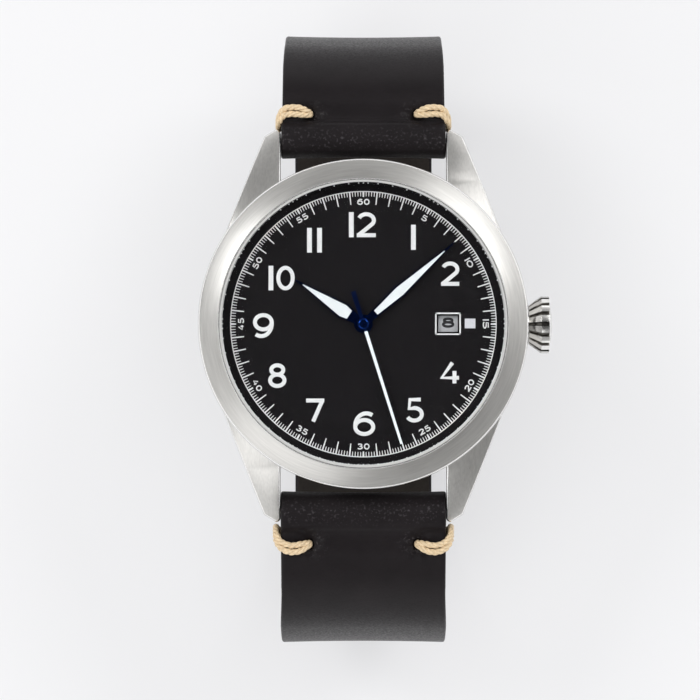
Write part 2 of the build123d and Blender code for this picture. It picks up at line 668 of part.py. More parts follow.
# Pallet fork between escape wheel and roller: a bar across the wheel's teeth and a forked lever
with BuildPart() as pallet_fork:
    with BuildSketch(fork_plane):
        Rectangle(FORK_W, 2 * FORK_REACH)
        with Locations((lever_len / 2, 0)):
            Rectangle(lever_len, FORK_W / 2)
    extrude(amount=WHEEL_T)
    post(fork_at, escape_z, plate_z + PLATE_T / 3, ARBOR_R)
write(pallet_fork.part, "pallet_fork")

# Hairspring: a flat spiral of half turns between the balance and the cock
with BuildPart() as hairspring:
    with BuildSketch(level(balance_at, bridge_top + RUN)):
        with BuildLine() as coil:
            for half in range(2 * SPRING_TURNS):
                coil_r = ARBOR_R + SPRING_PITCH * (1 + half / 2)
                shift = SPRING_PITCH / 4 * (1 if half % 2 else -1)
                CenterArc((shift, 0), coil_r, 180 * (half % 2), 180)
        trace(line_width=SPRING_T)
    extrude(amount=SPRING_H)
write(hairspring.part, "hairspring")

# Dial work: cannon pinion on the centre tube, minute wheel beside it, hour wheel over both
with BuildPart() as cannon_pinion:
    toothed(centre, motion_z, 2 * WHEEL_T, CANNON_TEETH, CANNON_R, MINUTE_WHEEL_DIR)
    post(centre, motion_z, minute_z + HAND_T, cannon_out)
    post(centre, motion_z - CUT, minute_z + CUT, centre_tube_out, mode=Mode.SUBTRACT)
write(cannon_pinion.part, "cannon_pinion")

with BuildPart() as minute_wheel:
    toothed(minute_wheel_at, motion_z, WHEEL_T, MINUTE_WHEEL_TEETH, minute_wheel_r,
            MINUTE_WHEEL_DIR + 180 + 180 / MINUTE_WHEEL_TEETH)
    toothed(minute_wheel_at, motion_z + WHEEL_T, hour_wheel_z + WHEEL_T - motion_z - WHEEL_T,
            MINUTE_PINION_TEETH, minute_pinion_r, MINUTE_WHEEL_DIR + 180 + 180 / MINUTE_PINION_TEETH)
    post(minute_wheel_at, plate_z + PLATE_T / 2, motion_z, ARBOR_R - RUN)
write(minute_wheel.part, "minute_wheel")

with BuildPart() as hour_wheel:
    toothed(centre, hour_wheel_z, WHEEL_T, HOUR_TEETH, hour_r, MINUTE_WHEEL_DIR)
    post(centre, hour_wheel_z, hour_z + HAND_T, hour_pipe_out)
    post(centre, hour_wheel_z - CUT, hour_z + CUT, hour_pipe_in, mode=Mode.SUBTRACT)
write(hour_wheel.part, "hour_wheel")

# Date ring with its inner teeth, and the dial with its aperture and two feet
with BuildPart() as date_ring:
    with BuildSketch(Plane.XY.offset(date_z)):
        Circle(DATE_OUT_R)
        with BuildLine():
            tooth = 2 * DATE_IN_R / DATE_DAYS
            Polyline(*[polar(DATE_IN_R + (TIP_SHARE if step % 2 else -TIP_SHARE) * tooth,
                             180 * step / DATE_DAYS) for step in range(2 * DATE_DAYS)], close=True)
        make_face(mode=Mode.SUBTRACT)
    extrude(amount=DATE_T)
write(date_ring.part, "date_ring")

with BuildPart() as dial:
    post(centre, dial_z, dial_top, dial_r)
    for spot in feet_spots:
        post(spot, plate_z + PLATE_T / 2, dial_z, FOOT_R)
    post(centre, dial_z - CUT, dial_top + CUT, hour_pipe_out + AIR, mode=Mode.SUBTRACT)
    with Locations((DATE_AT_X, 0, dial_z - CUT)):
        Box(DATE_W, DATE_H, DIAL_T + 2 * CUT, align=BASE, mode=Mode.SUBTRACT)
write(dial.part, "dial")


def hand_outline(root_w, wide, wide_at, length, start, tip_w, grow=0.0):
    """Corners of a lance-shaped hand from its start to its point along +Y, drawn in by grow."""
    start_w = root_w + (wide - root_w) * start / wide_at
    half = [(start_w / 2 - grow, start), (wide / 2 - grow, wide_at), (tip_w / 2, length)]
    return half + [(-across, along) for across, along in reversed(half)]


# Hour and minute hands: blued frames round a luminous filling, each pressed on its pipe
hands = (
    ("hour", hour_z, HOUR_ANGLE, hour_len, HOUR_ROOT_W, HOUR_WIDE, HOUR_WIDE_SHARE, hour_pipe_out,
     HUB_R + 2 * HUB_STEP),
    ("minute", minute_z, MINUTE_ANGLE, minute_len, MINUTE_ROOT_W, MINUTE_WIDE, MINUTE_WIDE_SHARE,
     cannon_out, HUB_R + HUB_STEP),
)
for name, height, angle, length, root_w, wide, wide_share, pipe_r, hub_r in hands:
    lume_from = LUME_FROM_SHARE * (HUB_R + 2 * HUB_STEP)
    plane = Plane.XY.offset(height).rotated((0, 0, angle))
    with BuildSketch(plane) as window:
        with BuildLine():
            Polyline(*hand_outline(root_w, wide, wide_share * length, LUME_TO_SHARE * length,
                                   lume_from, HAND_TIP_W / 2, HAND_FRAME), close=True)
        make_face()
    with BuildPart() as hand:
        with BuildSketch(plane):
            with BuildLine():
                Polyline(*hand_outline(root_w, wide, wide_share * length, length, 0, HAND_TIP_W / 2),
                         close=True)
            make_face()
            Circle(hub_r)
        extrude(amount=HAND_T)
        extrude(window.sketch, amount=HAND_T, mode=Mode.SUBTRACT)
        post(centre, height - CUT, height + CUT, pipe_r, mode=Mode.SUBTRACT)
    with BuildPart() as lume:
        extrude(window.sketch, amount=LUME_T)
    write(hand.part, name + "_hand")
    write(lume.part, name + "_lume")

with BuildPart() as seconds_hand:
    with BuildSketch(Plane.XY.offset(seconds_z).rotated((0, 0, SECONDS_ANGLE))):
        with BuildLine():
            Polyline((SECONDS_W / 2, 0), (SECONDS_TIP_W / 2, seconds_len),
                     (-SECONDS_TIP_W / 2, seconds_len), (-SECONDS_W / 2, 0),
                     (-SECONDS_TAIL_W / 2, -SECONDS_TAIL), (SECONDS_TAIL_W / 2, -SECONDS_TAIL),
                     close=True)
        make_face()
        Circle(HUB_R)
        Circle(seconds_arbor_r, mode=Mode.SUBTRACT)
    extrude(amount=HAND_T)
write(seconds_hand.part, "seconds_hand")

# Oscillating weight: half a web with a heavy rim, on a ball bearing round the train bridge's post
rotor_out = MOVE_R - 2 * AIR
with BuildPart() as rotor:
    with BuildSketch(Plane.XY.offset(rotor_z + ROTOR_T - ROTOR_WEB_T)):
        Circle(rotor_out)
        with Locations((0, rotor_out)):
            Rectangle(2 * rotor_out, 2 * rotor_out, mode=Mode.SUBTRACT)
        Circle(ROTOR_POST_R + RUN + ROTOR_HUB_W)
    extrude(amount=ROTOR_WEB_T)
    with BuildSketch(Plane.XY.offset(rotor_z)):
        Circle(rotor_out)
        Circle(rotor_out - ROTOR_RIM_W, mode=Mode.SUBTRACT)
        with Locations((0, rotor_out)):
            Rectangle(2 * rotor_out, 2 * rotor_out, mode=Mode.SUBTRACT)
    extrude(amount=ROTOR_T)
    post(centre, rotor_z, rotor_z + ROTOR_T, ROTOR_POST_R + RUN + ROTOR_HUB_W)
    post(centre, rotor_z - CUT, rotor_z + CUT, ROTOR_POST_R + RUN, mode=Mode.SUBTRACT)
write(rotor.part, "rotor")

with BuildPart() as rotor_screw:
    post(centre, rotor_z - ROTOR_SCREW_T, rotor_z, ROTOR_POST_R + 2 * RUN + ROTOR_HUB_W / 2)
    with Locations((0, 0, rotor_z - ROTOR_SCREW_T)):
        Box(2 * (ROTOR_POST_R + ROTOR_HUB_W), SCREW_SLOT, ROTOR_SCREW_T / 2, align=BASE, mode=Mode.SUBTRACT)
write(rotor_screw.part, "rotor_screw")

# Crown tube, pressed into the case wall
with BuildPart() as crown_tube:
    rod(case_bore_r, CASE_R + TUBE_OUT, 0, stem_z, TUBE_R)
    rod(case_bore_r - CUT, CASE_R + TUBE_OUT + CUT, 0, stem_z, TUBE_BORE_R, mode=Mode.SUBTRACT)
write(crown_tube.part, "crown_tube")


def flute_ring(scale_share):
    """Corners of the crown's fluted section: flat-topped ridges with a groove between each two."""
    corners = []
    pitch = 360 / CROWN_FLUTES
    groove = FLUTE_SHARE * pitch
    top_r = CROWN_R * scale_share
    floor_r = (CROWN_R - FLUTE_DEPTH) * scale_share
    for flute in range(CROWN_FLUTES):
        middle = flute * pitch
        for reach, turn in ((top_r, groove / 2 - pitch), (top_r, -groove / 2),
                            (floor_r, -groove / 4), (floor_r, groove / 4)):
            corners.append(polar(reach, middle + turn))
    return corners


# Crown: sixteen flutes run up the cone and along the band, closed by a low dome. Its stem and seal.
crown_x = bezel_r + CROWN_GAP
band_x = crown_x + CROWN_CONE
crown_end = band_x + CROWN_BAND
stem_axis = Axis((0, 0, stem_z), (1, 0, 0))
seal_out = TUBE_R + RUN + BACK_GASKET_W / 2
with BuildPart() as crown:
    for section_x, size_share in ((crown_x, CROWN_ROOT_R / CROWN_R), (band_x, 1), (crown_end, 1)):
        with BuildSketch(Plane(origin=(section_x, 0, stem_z), x_dir=(0, 1, 0), z_dir=(1, 0, 0))):
            with BuildLine():
                Polyline(*flute_ring(size_share), close=True)
            make_face()
    loft(ruled=True)
    with BuildSketch(Plane.XZ):
        with BuildLine():
            dome_r = CROWN_R - FLUTE_DEPTH
            cap = ThreePointArc((crown_end, stem_z + dome_r),
                                (crown_end + CROWN_CAP * 3 / 4, stem_z + dome_r / 2),
                                (crown_end + CROWN_CAP, stem_z))
            Polyline(cap @ 1, (crown_end, stem_z), cap @ 0)
        make_face()
    revolve(axis=stem_axis)
    rod(crown_x - CUT, CASE_R + TUBE_OUT + AIR, 0, stem_z, seal_out, mode=Mode.SUBTRACT)
    rod(crown_x - CUT, band_x + CROWN_BAND / 2, 0, stem_z, STEM_R, mode=Mode.SUBTRACT)
write(crown.part, "crown")

with BuildPart() as crown_gasket:
    rod(crown_x + AIR, crown_x + AIR + BACK_GASKET_H, 0, stem_z, seal_out)
    rod(crown_x, crown_x + CUT, 0, stem_z, TUBE_R + RUN, mode=Mode.SUBTRACT)
write(crown_gasket.part, "crown_gasket")

# Winding stem: pivot, square for the sliding pinion, neck for the setting lever, round shank
square_to = CLUTCH_AT + CLUTCH_L + AIR
with BuildPart() as winding_stem:
    rod(STEM_END, square_from, 0, stem_z, STEM_PIVOT_R)
    with Locations(((square_from + square_to) / 2, 0, stem_z)):
        Box(square_to - square_from, STEM_SQUARE, STEM_SQUARE)
    rod(square_to, STEM_NECK_AT - STEM_NECK_W / 2, 0, stem_z, STEM_R)
    rod(STEM_NECK_AT - STEM_NECK_W / 2, STEM_NECK_AT + STEM_NECK_W / 2, 0, stem_z, STEM_NECK_R)
    rod(STEM_NECK_AT + STEM_NECK_W / 2, band_x + CROWN_BAND / 2, 0, stem_z, STEM_R)
write(winding_stem.part, "winding_stem")

with BuildPart() as sliding_pinion:
    rod(CLUTCH_AT, CLUTCH_AT + CLUTCH_L, 0, stem_z, CLUTCH_R)
    with Locations((CLUTCH_AT + CLUTCH_L / 2, 0, stem_z)):
        Box(CLUTCH_L + CUT, STEM_SQUARE + 2 * RUN, STEM_SQUARE + 2 * RUN, mode=Mode.SUBTRACT)
    # face teeth that drive the winding pinion
    with BuildSketch(Plane(origin=(CLUTCH_AT, 0, stem_z), x_dir=(0, 1, 0), z_dir=(1, 0, 0))):
        with PolarLocations(CLUTCH_R, CLUTCH_TEETH):
            Rectangle(CLUTCH_TOOTH, CLUTCH_TOOTH)
    extrude(amount=CLUTCH_TOOTH, mode=Mode.SUBTRACT)
write(sliding_pinion.part, "sliding_pinion")

lever_z = stem_z - STEM_R - AIR - LEVER_T
with BuildPart() as setting_lever:
    with BuildSketch(Plane.XY.offset(lever_z)):
        with Locations((STEM_NECK_AT, LEVER_ARM / 2)):
            SlotCenterToCenter(LEVER_ARM, LEVER_W, rotation=90)
    extrude(amount=LEVER_T)
    post((STEM_NECK_AT, 0), lever_z, stem_z - STEM_NECK_R - RUN, LEVER_PIN_R)
    post(lever_at, lever_z, plate_z + PLATE_T / 2 - RUN, LEVER_PIN_R)
write(setting_lever.part, "setting_lever")

# Spring bars: a tube at each end of the head, with a sprung tip in each end of it
collar_x = bar_half + TIP_TRAVEL + RUN
with BuildPart() as spring_bar_tubes:
    for side in (-1, 1):
        rod(-bar_half, bar_half, side * bar_y, bar_z, BAR_R)
    for side in (-1, 1):
        rod(-bar_half - CUT, bar_half + CUT, side * bar_y, bar_z, BAR_BORE_R, mode=Mode.SUBTRACT)
write(spring_bar_tubes.part, "spring_bar_tubes")

tips = (("12_left", -1, 1), ("12_right", 1, 1), ("6_left", -1, -1), ("6_right", 1, -1))
for name, across, along in tips:
    with BuildPart() as tip:
        inner, outer = sorted((across * (bar_half - TIP_TAIL), across * (lug_gap / 2 + TIP_IN_LUG)))
        rod(inner, outer, along * bar_y, bar_z, TIP_R)
        inner, outer = sorted((across * collar_x, across * (collar_x + TIP_COLLAR_W)))
        rod(inner, outer, along * bar_y, bar_z, TIP_COLLAR_R)
    write(tip.part, "spring_bar_tip_" + name)

# Strap. Each half is folded round its spring bar, bows out and down in three tangent bends, and
# runs in flat below the wrist. The tail of the long half lies outside the short half.
turn_sin = math.sin(math.radians(BOW_TURN))
turn_cos = math.cos(math.radians(BOW_TURN))
side_turn = 2 * (90 - BOW_TURN)
strap_top = bar_z + BAR_R + RUN + LEATHER_T
long_z = KEEPER_T + 2 * RUN
short_z = long_z + LEATHER_T + LAYER_GAP
pin_z = short_z + FOLD_T + RUN + PIN_R
fold_r = PIN_R + RUN + FOLD_T


def bend_radii(reach, drop):
    """Upper and lower bend of a strap half's outer face, from how far it bows out and falls."""
    upper = (reach - bar_y - SIDE_R * (1 - turn_sin)) / turn_sin
    lower = (drop - 2 * SIDE_R * turn_cos) / (1 - turn_cos) - upper
    return upper, lower


def strap_face(side, depth, upper, lower):
    """One face of a strap half at a depth below its outer face: from over the bar to the flat."""
    over = JernArc((side * bar_y, strap_top - depth), (side, 0), upper - depth, -side * BOW_TURN)
    down = JernArc(over @ 1, over % 1, SIDE_R - depth, -side * side_turn)
    return JernArc(down @ 1, down % 1, lower - depth, -side * BOW_TURN)


def bar_fold(side, upper):
    """The fold round the spring bar and the flap glued back under the strap."""
    with Locations((side * bar_y, bar_z)):
        Circle(BAR_R + RUN + LEATHER_T)
    mid_r = upper - LEATHER_T / 2
    with BuildLine() as flap:
        under = JernArc((side * bar_y, strap_top - LEATHER_T / 2), (side, 0), mid_r, -side * FLAP_TURN)
        flap_z = (under @ 1).Y - LEATHER_T / 2 - RUN
        Polyline(under @ 1, ((under @ 1).X, flap_z), (side * bar_y, bar_z - BAR_R - RUN - LEATHER_T),
                 under @ 0)
    make_face(flap.line.edges())
    with Locations((side * bar_y, bar_z)):
        Circle(BAR_R + RUN, mode=Mode.SUBTRACT)


def taper():
    """Plan width: full down to half height, then narrowing to the buckle width."""
    high = strap_top + CUT
    mid = bar_z - TAPER_DROP
    low = pin_z + fold_r
    with BuildSketch(Plane.XZ) as outline:
        with BuildLine():
            Polyline((-STRAP_W / 2, high), (STRAP_W / 2, high), (STRAP_W / 2, mid),
                     (strap_end_w / 2, low),
                     (strap_end_w / 2, -CUT), (-strap_end_w / 2, -CUT), (-strap_end_w / 2, low),
                     (-STRAP_W / 2, mid), close=True)
        make_face()
    extrude(outline.sketch, amount=SHORT_REACH + LONG_REACH, both=True, mode=Mode.INTERSECT)


def stitch(across, along, hole_at, upper, mode=Mode.ADD):
    """One waxed thread: up through the leather, out in an arc, over the strap's edge and under."""
    edge = STRAP_W / 2 + THREAD_R + RUN
    top = strap_top - upper + math.sqrt(upper ** 2 - (hole_at - bar_y) ** 2) + THREAD_R
    low = bar_z - BAR_R - RUN - LEATHER_T - THREAD_R
    near = lug_reach + THREAD_R + 2 * RUN
    points = (
        (stitch_x, hole_at, top - LEATHER_T),
        (stitch_x, hole_at, top),
        (stitch_x + 2 * STITCH_RISE, hole_at + STITCH_RISE, top),
        (edge - THREAD_R, hole_at + STITCH_RISE / 2, top),
        (edge, (hole_at + near) / 2, top - LEATHER_T / 2),
        (edge, near, (top + low) / 2),
        (edge, near + STITCH_RISE / 4, low),
        (stitch_x + STITCH_RISE, hole_at, low),
        (stitch_x + STITCH_RISE / 2, hole_at, low + LEATHER_T),
    )
    places = [(across * x, along * y, z) for x, y, z in points]
    with BuildLine() as route:
        FilletPolyline(*places, radius=THREAD_BEND)
    with BuildSketch(Plane(origin=route.line @ 0, z_dir=route.line % 0)) as section:
        RegularPolygon(THREAD_R, THREAD_SIDES)
    sweep(section.sketch, path=route.line, mode=mode)


short_upper, short_lower = bend_radii(SHORT_REACH, strap_top - short_z)
long_upper, long_lower = bend_radii(LONG_REACH, strap_top - long_z)
side_bulge = SIDE_R * (1 - turn_sin)
short_flat_y = SHORT_REACH - side_bulge - short_lower * turn_sin
long_flat_y = -(LONG_REACH - side_bulge - long_lower * turn_sin)
hole_y = BAR_FRONT_Y + BAR_DEPTH + TANG_HOLE_L
keeper_top = short_z + LEATHER_T + AIR
folded_top = pin_z + fold_r - 2 * LAYER_GAP
frame_w = strap_end_w + 2 * (FRAME_GAP + RAIL_W)
stitch_short_y = lug_reach + STITCH_SHORT_OUT
stitch_long_y = lug_reach + STITCH_LONG_OUT

with BuildPart() as strap_short:
    with BuildSketch(Plane.YZ):
        with BuildLine():
            outer = strap_face(1, 0, short_upper, short_lower)
            inner = strap_face(1, LEATHER_T, short_upper, short_lower)
            Polyline(outer @ 1, (PIN_Y, short_z), (PIN_Y, short_z + LEATHER_T), inner @ 1)
            Line((bar_y, strap_top), (bar_y, strap_top - LEATHER_T))
        make_face()
        bar_fold(1, short_upper)
        # fold round the buckle's pin, with its flap
        with Locations((PIN_Y, pin_z)):
            Circle(fold_r)
        with BuildLine():
            Polyline((PIN_Y, pin_z + fold_r), (PIN_Y + 2 * KEEPER_W - HOLE_R, short_z + LEATHER_T),
                     (PIN_Y + 2 * KEEPER_W - HOLE_R, short_z + LEATHER_T / 2),
                     (PIN_Y, short_z + LEATHER_T / 2), close=True)
        make_face()
        with Locations((PIN_Y, pin_z)):
            Circle(PIN_R + RUN, mode=Mode.SUBTRACT)
    extrude(amount=STRAP_W, both=True)
    taper()
    # slot for the tang
    with Locations((0, PIN_Y - fold_r, short_z - CUT)):
        Box(TANG_SLOT_W, 2 * (fold_r + EAR_R + 2 * AIR), 4 * fold_r + CUT, align=BASE, mode=Mode.SUBTRACT)
    for across in (-1, 1):
        stitch(across, 1, stitch_short_y, short_upper, mode=Mode.SUBTRACT)
write(strap_short.part, "strap_short")

with BuildPart() as strap_long:
    with BuildSketch(Plane.YZ):
        with BuildLine():
            outer = strap_face(-1, 0, long_upper, long_lower)
            inner = strap_face(-1, LEATHER_T, long_upper, long_lower)
            low = Line(outer @ 1, (short_flat_y, long_z))
            high = Line(inner @ 1, (short_flat_y, long_z + LEATHER_T))
            tail_low = JernArc(low @ 1, (1, 0), short_lower + LAYER_GAP + LEATHER_T, TAIL_TURN)
            tail_high = JernArc(high @ 1, (1, 0), short_lower + LAYER_GAP, TAIL_TURN)
            Line(tail_low @ 1, tail_high @ 1)
            Line((-bar_y, strap_top), (-bar_y, strap_top - LEATHER_T))
        make_face()
        bar_fold(-1, long_upper)
        tip_y = (tail_low @ 1).X
        tip_z = (tail_high @ 1).Y + 2 * CUT
    extrude(amount=STRAP_W, both=True)
    taper()
    # rounded tip
    with BuildSketch(Plane.XY.offset(-CUT)):
        with BuildLine():
            tip_line = ThreePointArc((-strap_end_w / 2, tip_y - TAIL_TIP_L), (0, tip_y),
                                     (strap_end_w / 2, tip_y - TAIL_TIP_L))
            Polyline(tip_line @ 1, (STRAP_W, tip_y - TAIL_TIP_L), (STRAP_W, tip_y + CUT),
                     (-STRAP_W, tip_y + CUT), (-STRAP_W, tip_y - TAIL_TIP_L), tip_line @ 0)
        make_face()
    extrude(amount=tip_z, mode=Mode.SUBTRACT)
    # holes: one stretched by the tang, and spare ones towards the tail
    with BuildSketch(Plane.XY.offset(long_z - LEATHER_T / 2)):
        with Locations((0, hole_y)):
            SlotOverall(TANG_HOLE_L, 2 * HOLE_R, rotation=90)
        for spare in range(SPARE_HOLES):
            with Locations((0, hole_y + HOLE_PITCH * (spare + 1))):
                Circle(HOLE_R)
    extrude(amount=2 * LEATHER_T, mode=Mode.SUBTRACT)
    for across in (-1, 1):
        stitch(across, -1, stitch_long_y, long_upper, mode=Mode.SUBTRACT)
write(strap_long.part, "strap_long")


# Stitches, one pair at each end of the head
stitch_pairs = (("12", 1, stitch_short_y, short_upper), ("6", -1, stitch_long_y, long_upper))
for name, along, hole_at, upper in stitch_pairs:
    with BuildPart() as threads:
        stitch(-1, along, hole_at, upper)
        stitch(1, along, hole_at, upper)
    write(threads.part, "stitches_" + name)

# Buckle: front bar and side rails in one piece, its pin, and the tang that turns on the pin
front_mid_y = BAR_FRONT_Y + BAR_DEPTH / 2
rail_x = frame_w / 2 - RAIL_W
with BuildPart() as buckle_frame:
    with BuildSketch(Plane.YZ):
        with BuildLine():
            Polyline((BAR_FRONT_Y, 0), (BAR_FRONT_Y, KEEPER_T), (PIN_Y - EAR_R / 2, pin_z + EAR_R * 3 / 4),
                     (PIN_Y + EAR_R / 2, pin_z - EAR_R * 3 / 4), (BAR_FRONT_Y + BAR_DEPTH, 0), close=True)
        make_face()
        with Locations((PIN_Y, pin_z)):
            Circle(EAR_R)
    extrude(amount=frame_w / 2, both=True)
    with BuildSketch(Plane.XY):
        with Locations((0, BAR_FRONT_Y + BAR_DEPTH + LONG_REACH / 2)):
            Rectangle(2 * rail_x, LONG_REACH)
    extrude(amount=pin_z + 2 * EAR_R, mode=Mode.SUBTRACT)
    with BuildSketch(Plane.XY.offset(KEEPER_T)):
        Rectangle(2 * rail_x, LONG_REACH)
    extrude(amount=pin_z, mode=Mode.SUBTRACT)
    # notch for the tang's tip in the bar's outer face
    with Locations((0, front_mid_y, -CUT)):
        Box(TANG_W + 4 * AIR, 2 * BAR_DEPTH, CUT + TANG_T + RUN, align=BASE, mode=Mode.SUBTRACT)
    rod(-frame_w, frame_w, PIN_Y, pin_z, PIN_R + RUN, mode=Mode.SUBTRACT)
write(buckle_frame.part, "buckle_frame")

with BuildPart() as buckle_pin:
    rod(-frame_w / 2, frame_w / 2, PIN_Y, pin_z, PIN_R)
write(buckle_pin.part, "buckle_pin")

with BuildPart() as buckle_tang:
    with BuildSketch(Plane.YZ):
        with BuildLine():
            low_z = TANG_T / 2 + RUN / 2
            FilletPolyline((PIN_Y, pin_z), (hole_y + 2 * TANG_T, long_z + LEATHER_T + TANG_T + AIR),
                           (hole_y - 3 * TANG_T, low_z), (BAR_FRONT_Y, low_z), radius=TANG_T)
        trace(line_width=TANG_T)
        with Locations((PIN_Y, pin_z)):
            Circle(EAR_R)
            Circle(PIN_R + RUN, mode=Mode.SUBTRACT)
    extrude(amount=TANG_W / 2, both=True)
write(buckle_tang.part, "buckle_tang")


# Keepers: leather loops round both layers of the strap, one fixed by the buckle and one that slides
keepers = (("fixed_keeper", 0, folded_top), ("free_keeper", FREE_KEEPER_Y, keeper_top))
for name, at_y, top_z in keepers:
    with BuildPart() as keeper:
        with BuildSketch(Plane.XZ.offset(KEEPER_W / 2 - at_y)):
            RectangleRounded(strap_end_w + 2 * (AIR + KEEPER_T), top_z + KEEPER_T, KEEPER_T / 2,
                             align=(Align.CENTER, Align.MIN))
            with Locations((0, KEEPER_T)):
                Rectangle(strap_end_w + 2 * AIR, top_z - KEEPER_T,
                          align=(Align.CENTER, Align.MIN), mode=Mode.SUBTRACT)
        extrude(amount=-KEEPER_W)
    write(keeper.part, name)

print("strap bends", round(short_upper, 2), round(short_lower, 2), round(long_upper, 2),
      round(long_lower, 2))
print("flat stretches start at", round(short_flat_y, 2), round(long_flat_y, 2),
      "tail tip at", round(tip_y, 2))
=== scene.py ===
import math
import bpy
import bmesh
from mathutils import Matrix, Vector


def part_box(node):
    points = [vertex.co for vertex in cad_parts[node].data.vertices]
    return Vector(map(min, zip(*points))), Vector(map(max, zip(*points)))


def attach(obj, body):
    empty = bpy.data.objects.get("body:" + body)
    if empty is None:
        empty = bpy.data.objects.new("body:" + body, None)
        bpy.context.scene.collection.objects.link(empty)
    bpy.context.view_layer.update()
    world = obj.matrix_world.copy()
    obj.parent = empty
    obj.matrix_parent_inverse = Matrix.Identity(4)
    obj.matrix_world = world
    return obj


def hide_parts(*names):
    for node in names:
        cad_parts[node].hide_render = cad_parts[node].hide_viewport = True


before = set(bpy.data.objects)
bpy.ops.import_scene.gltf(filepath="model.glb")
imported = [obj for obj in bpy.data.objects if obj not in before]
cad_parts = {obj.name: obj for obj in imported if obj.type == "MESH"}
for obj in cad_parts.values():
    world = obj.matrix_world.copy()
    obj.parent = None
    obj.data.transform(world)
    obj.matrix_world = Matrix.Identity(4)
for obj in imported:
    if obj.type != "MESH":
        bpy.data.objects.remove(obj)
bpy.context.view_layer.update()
MM = 0.001

# Camera. The photograph looks down on the dial from nearly overhead, a little from the 6 o'clock side,
# with a long lens, and the dial's centre sits right of and above the picture's centre.
DIAL_Z = 51.83 * MM
CAMERA_RISE = math.radians(88)
CAMERA_FAR, CAMERA_LENS, FILM = 520 * MM, 220.6, 36
PICTURE, CENTRE_RIGHT, CENTRE_UP = 700, 13.4, 25.8
bpy.ops.object.camera_add()
camera = bpy.context.object
camera.name = "camera"
camera.location = (0, -CAMERA_FAR * math.cos(CAMERA_RISE), DIAL_Z + CAMERA_FAR * math.sin(CAMERA_RISE))
camera.rotation_euler = (math.radians(90) - CAMERA_RISE, 0, 0)
camera.data.lens = CAMERA_LENS
camera.data.sensor_width = FILM
camera.data.shift_x = -CENTRE_RIGHT / PICTURE
camera.data.shift_y = -CENTRE_UP / PICTURE
camera.data.clip_start = 10 * MM
bpy.context.scene.camera = camera
bpy.context.scene.view_settings.view_transform = "Standard"


# Dial. A thin brass disc, pierced for the hands and the date and sprayed with matt black paint of a fine
# tooth. It lies on the movement and carries all the printing.
def blank(name):
    """A new finish to build on."""
    mat = bpy.data.materials.new(name)
    mat.use_nodes = True
    return mat


def feed(mat, feeds, to="Principled BSDF"):
    """Gives the inputs of a finish's node plain values, or the outputs that are wired to them."""
    for socket, value in feeds.items():
        entry = mat.node_tree.nodes[to].inputs[socket]
        if isinstance(value, bpy.types.NodeSocket):
            mat.node_tree.links.new(value, entry)
        else:
            entry.default_value = value


def wired(mat, kind, feeds=None, out=0, **settings):
    """Adds a node with its settings and inputs to a finish, and returns one of its outputs."""
    one = mat.node_tree.nodes.new("ShaderNode" + kind)
    for setting, value in settings.items():
        setattr(one, setting, value)
    feed(mat, feeds or {}, one.name)
    return one.outputs[out]


def reckon(mat, operation, *values):
    """A sum of plain values and outputs."""
    return wired(mat, "Math", dict(enumerate(values)), operation=operation)


def ramp(mat, value, start, end, low, high, kind="LINEAR"):
    """Carries a value from one span to another."""
    spans = {"Value": value, "From Min": start, "From Max": end, "To Min": low, "To Max": high}
    return wired(mat, "MapRange", spans, interpolation_type=kind)


def blend(mat, share, first, second):
    """A mix of two colours."""
    return wired(mat, "Mix", {"Factor": share, 6: first, 7: second}, out=2, data_type="RGBA")


def grained(mat, at, colour, rough, grain, detail, vary, swing, relief, deep):
    """Fine noise that varies a finish in colour and gloss, and in relief where it has any."""
    noise = wired(mat, "TexNoise", {"Vector": at, "Scale": grain, "Detail": detail})
    dark = (*[c * (1 - vary) for c in colour], 1)
    light = (*[min(1, c * (1 + vary)) for c in colour], 1)
    feed(mat, {"Base Color": blend(mat, noise, dark, light),
               "Roughness": ramp(mat, noise, 0, 1, max(0.02, rough - swing), rough + swing)})
    if relief:
        bumps = {"Strength": relief, "Distance": deep * MM, "Height": noise}
        feed(mat, {"Normal": wired(mat, "Bump", bumps)})


def finish(name, colour, rough, grain, metal=0.0, bump=0.0, vary=0.06):
    """A finish with an even fine grain, read in Object coordinates."""
    mat = blank(name)
    feed(mat, {"Metallic": metal})
    place = wired(mat, "TexCoord", out="Object")
    grained(mat, place, colour, rough, grain, detail=4, vary=vary, swing=0.06, relief=bump, deep=0.02)
    return mat


def dress(node, mat):
    """Gives a CAD node its finish."""
    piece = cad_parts[node]
    piece.data.materials.clear()
    piece.data.materials.append(mat)


dial_black = finish("dial_black", (0.0062, 0.0052, 0.0058), rough=0.62, grain=9000, bump=0.12, vary=0.2)
feed(dial_black, {"Specular IOR Level": 0.1})
dress("dial", dial_black)


# Dial printing. White luminous paint, laid thick for the hours and thin for the minutes. Every figure is
# one or two strokes of the pen: their centre lines in the unit square, drawn out to the figure's size.
def bow(x, y, rx, ry, start, end, steps=14):
    """Points along an arc of an ellipse, from one angle to another in degrees."""
    return [(x + rx * math.cos(math.radians(start + (end - start) * i / steps)),
             y + ry * math.sin(math.radians(start + (end - start) * i / steps))) for i in range(steps + 1)]


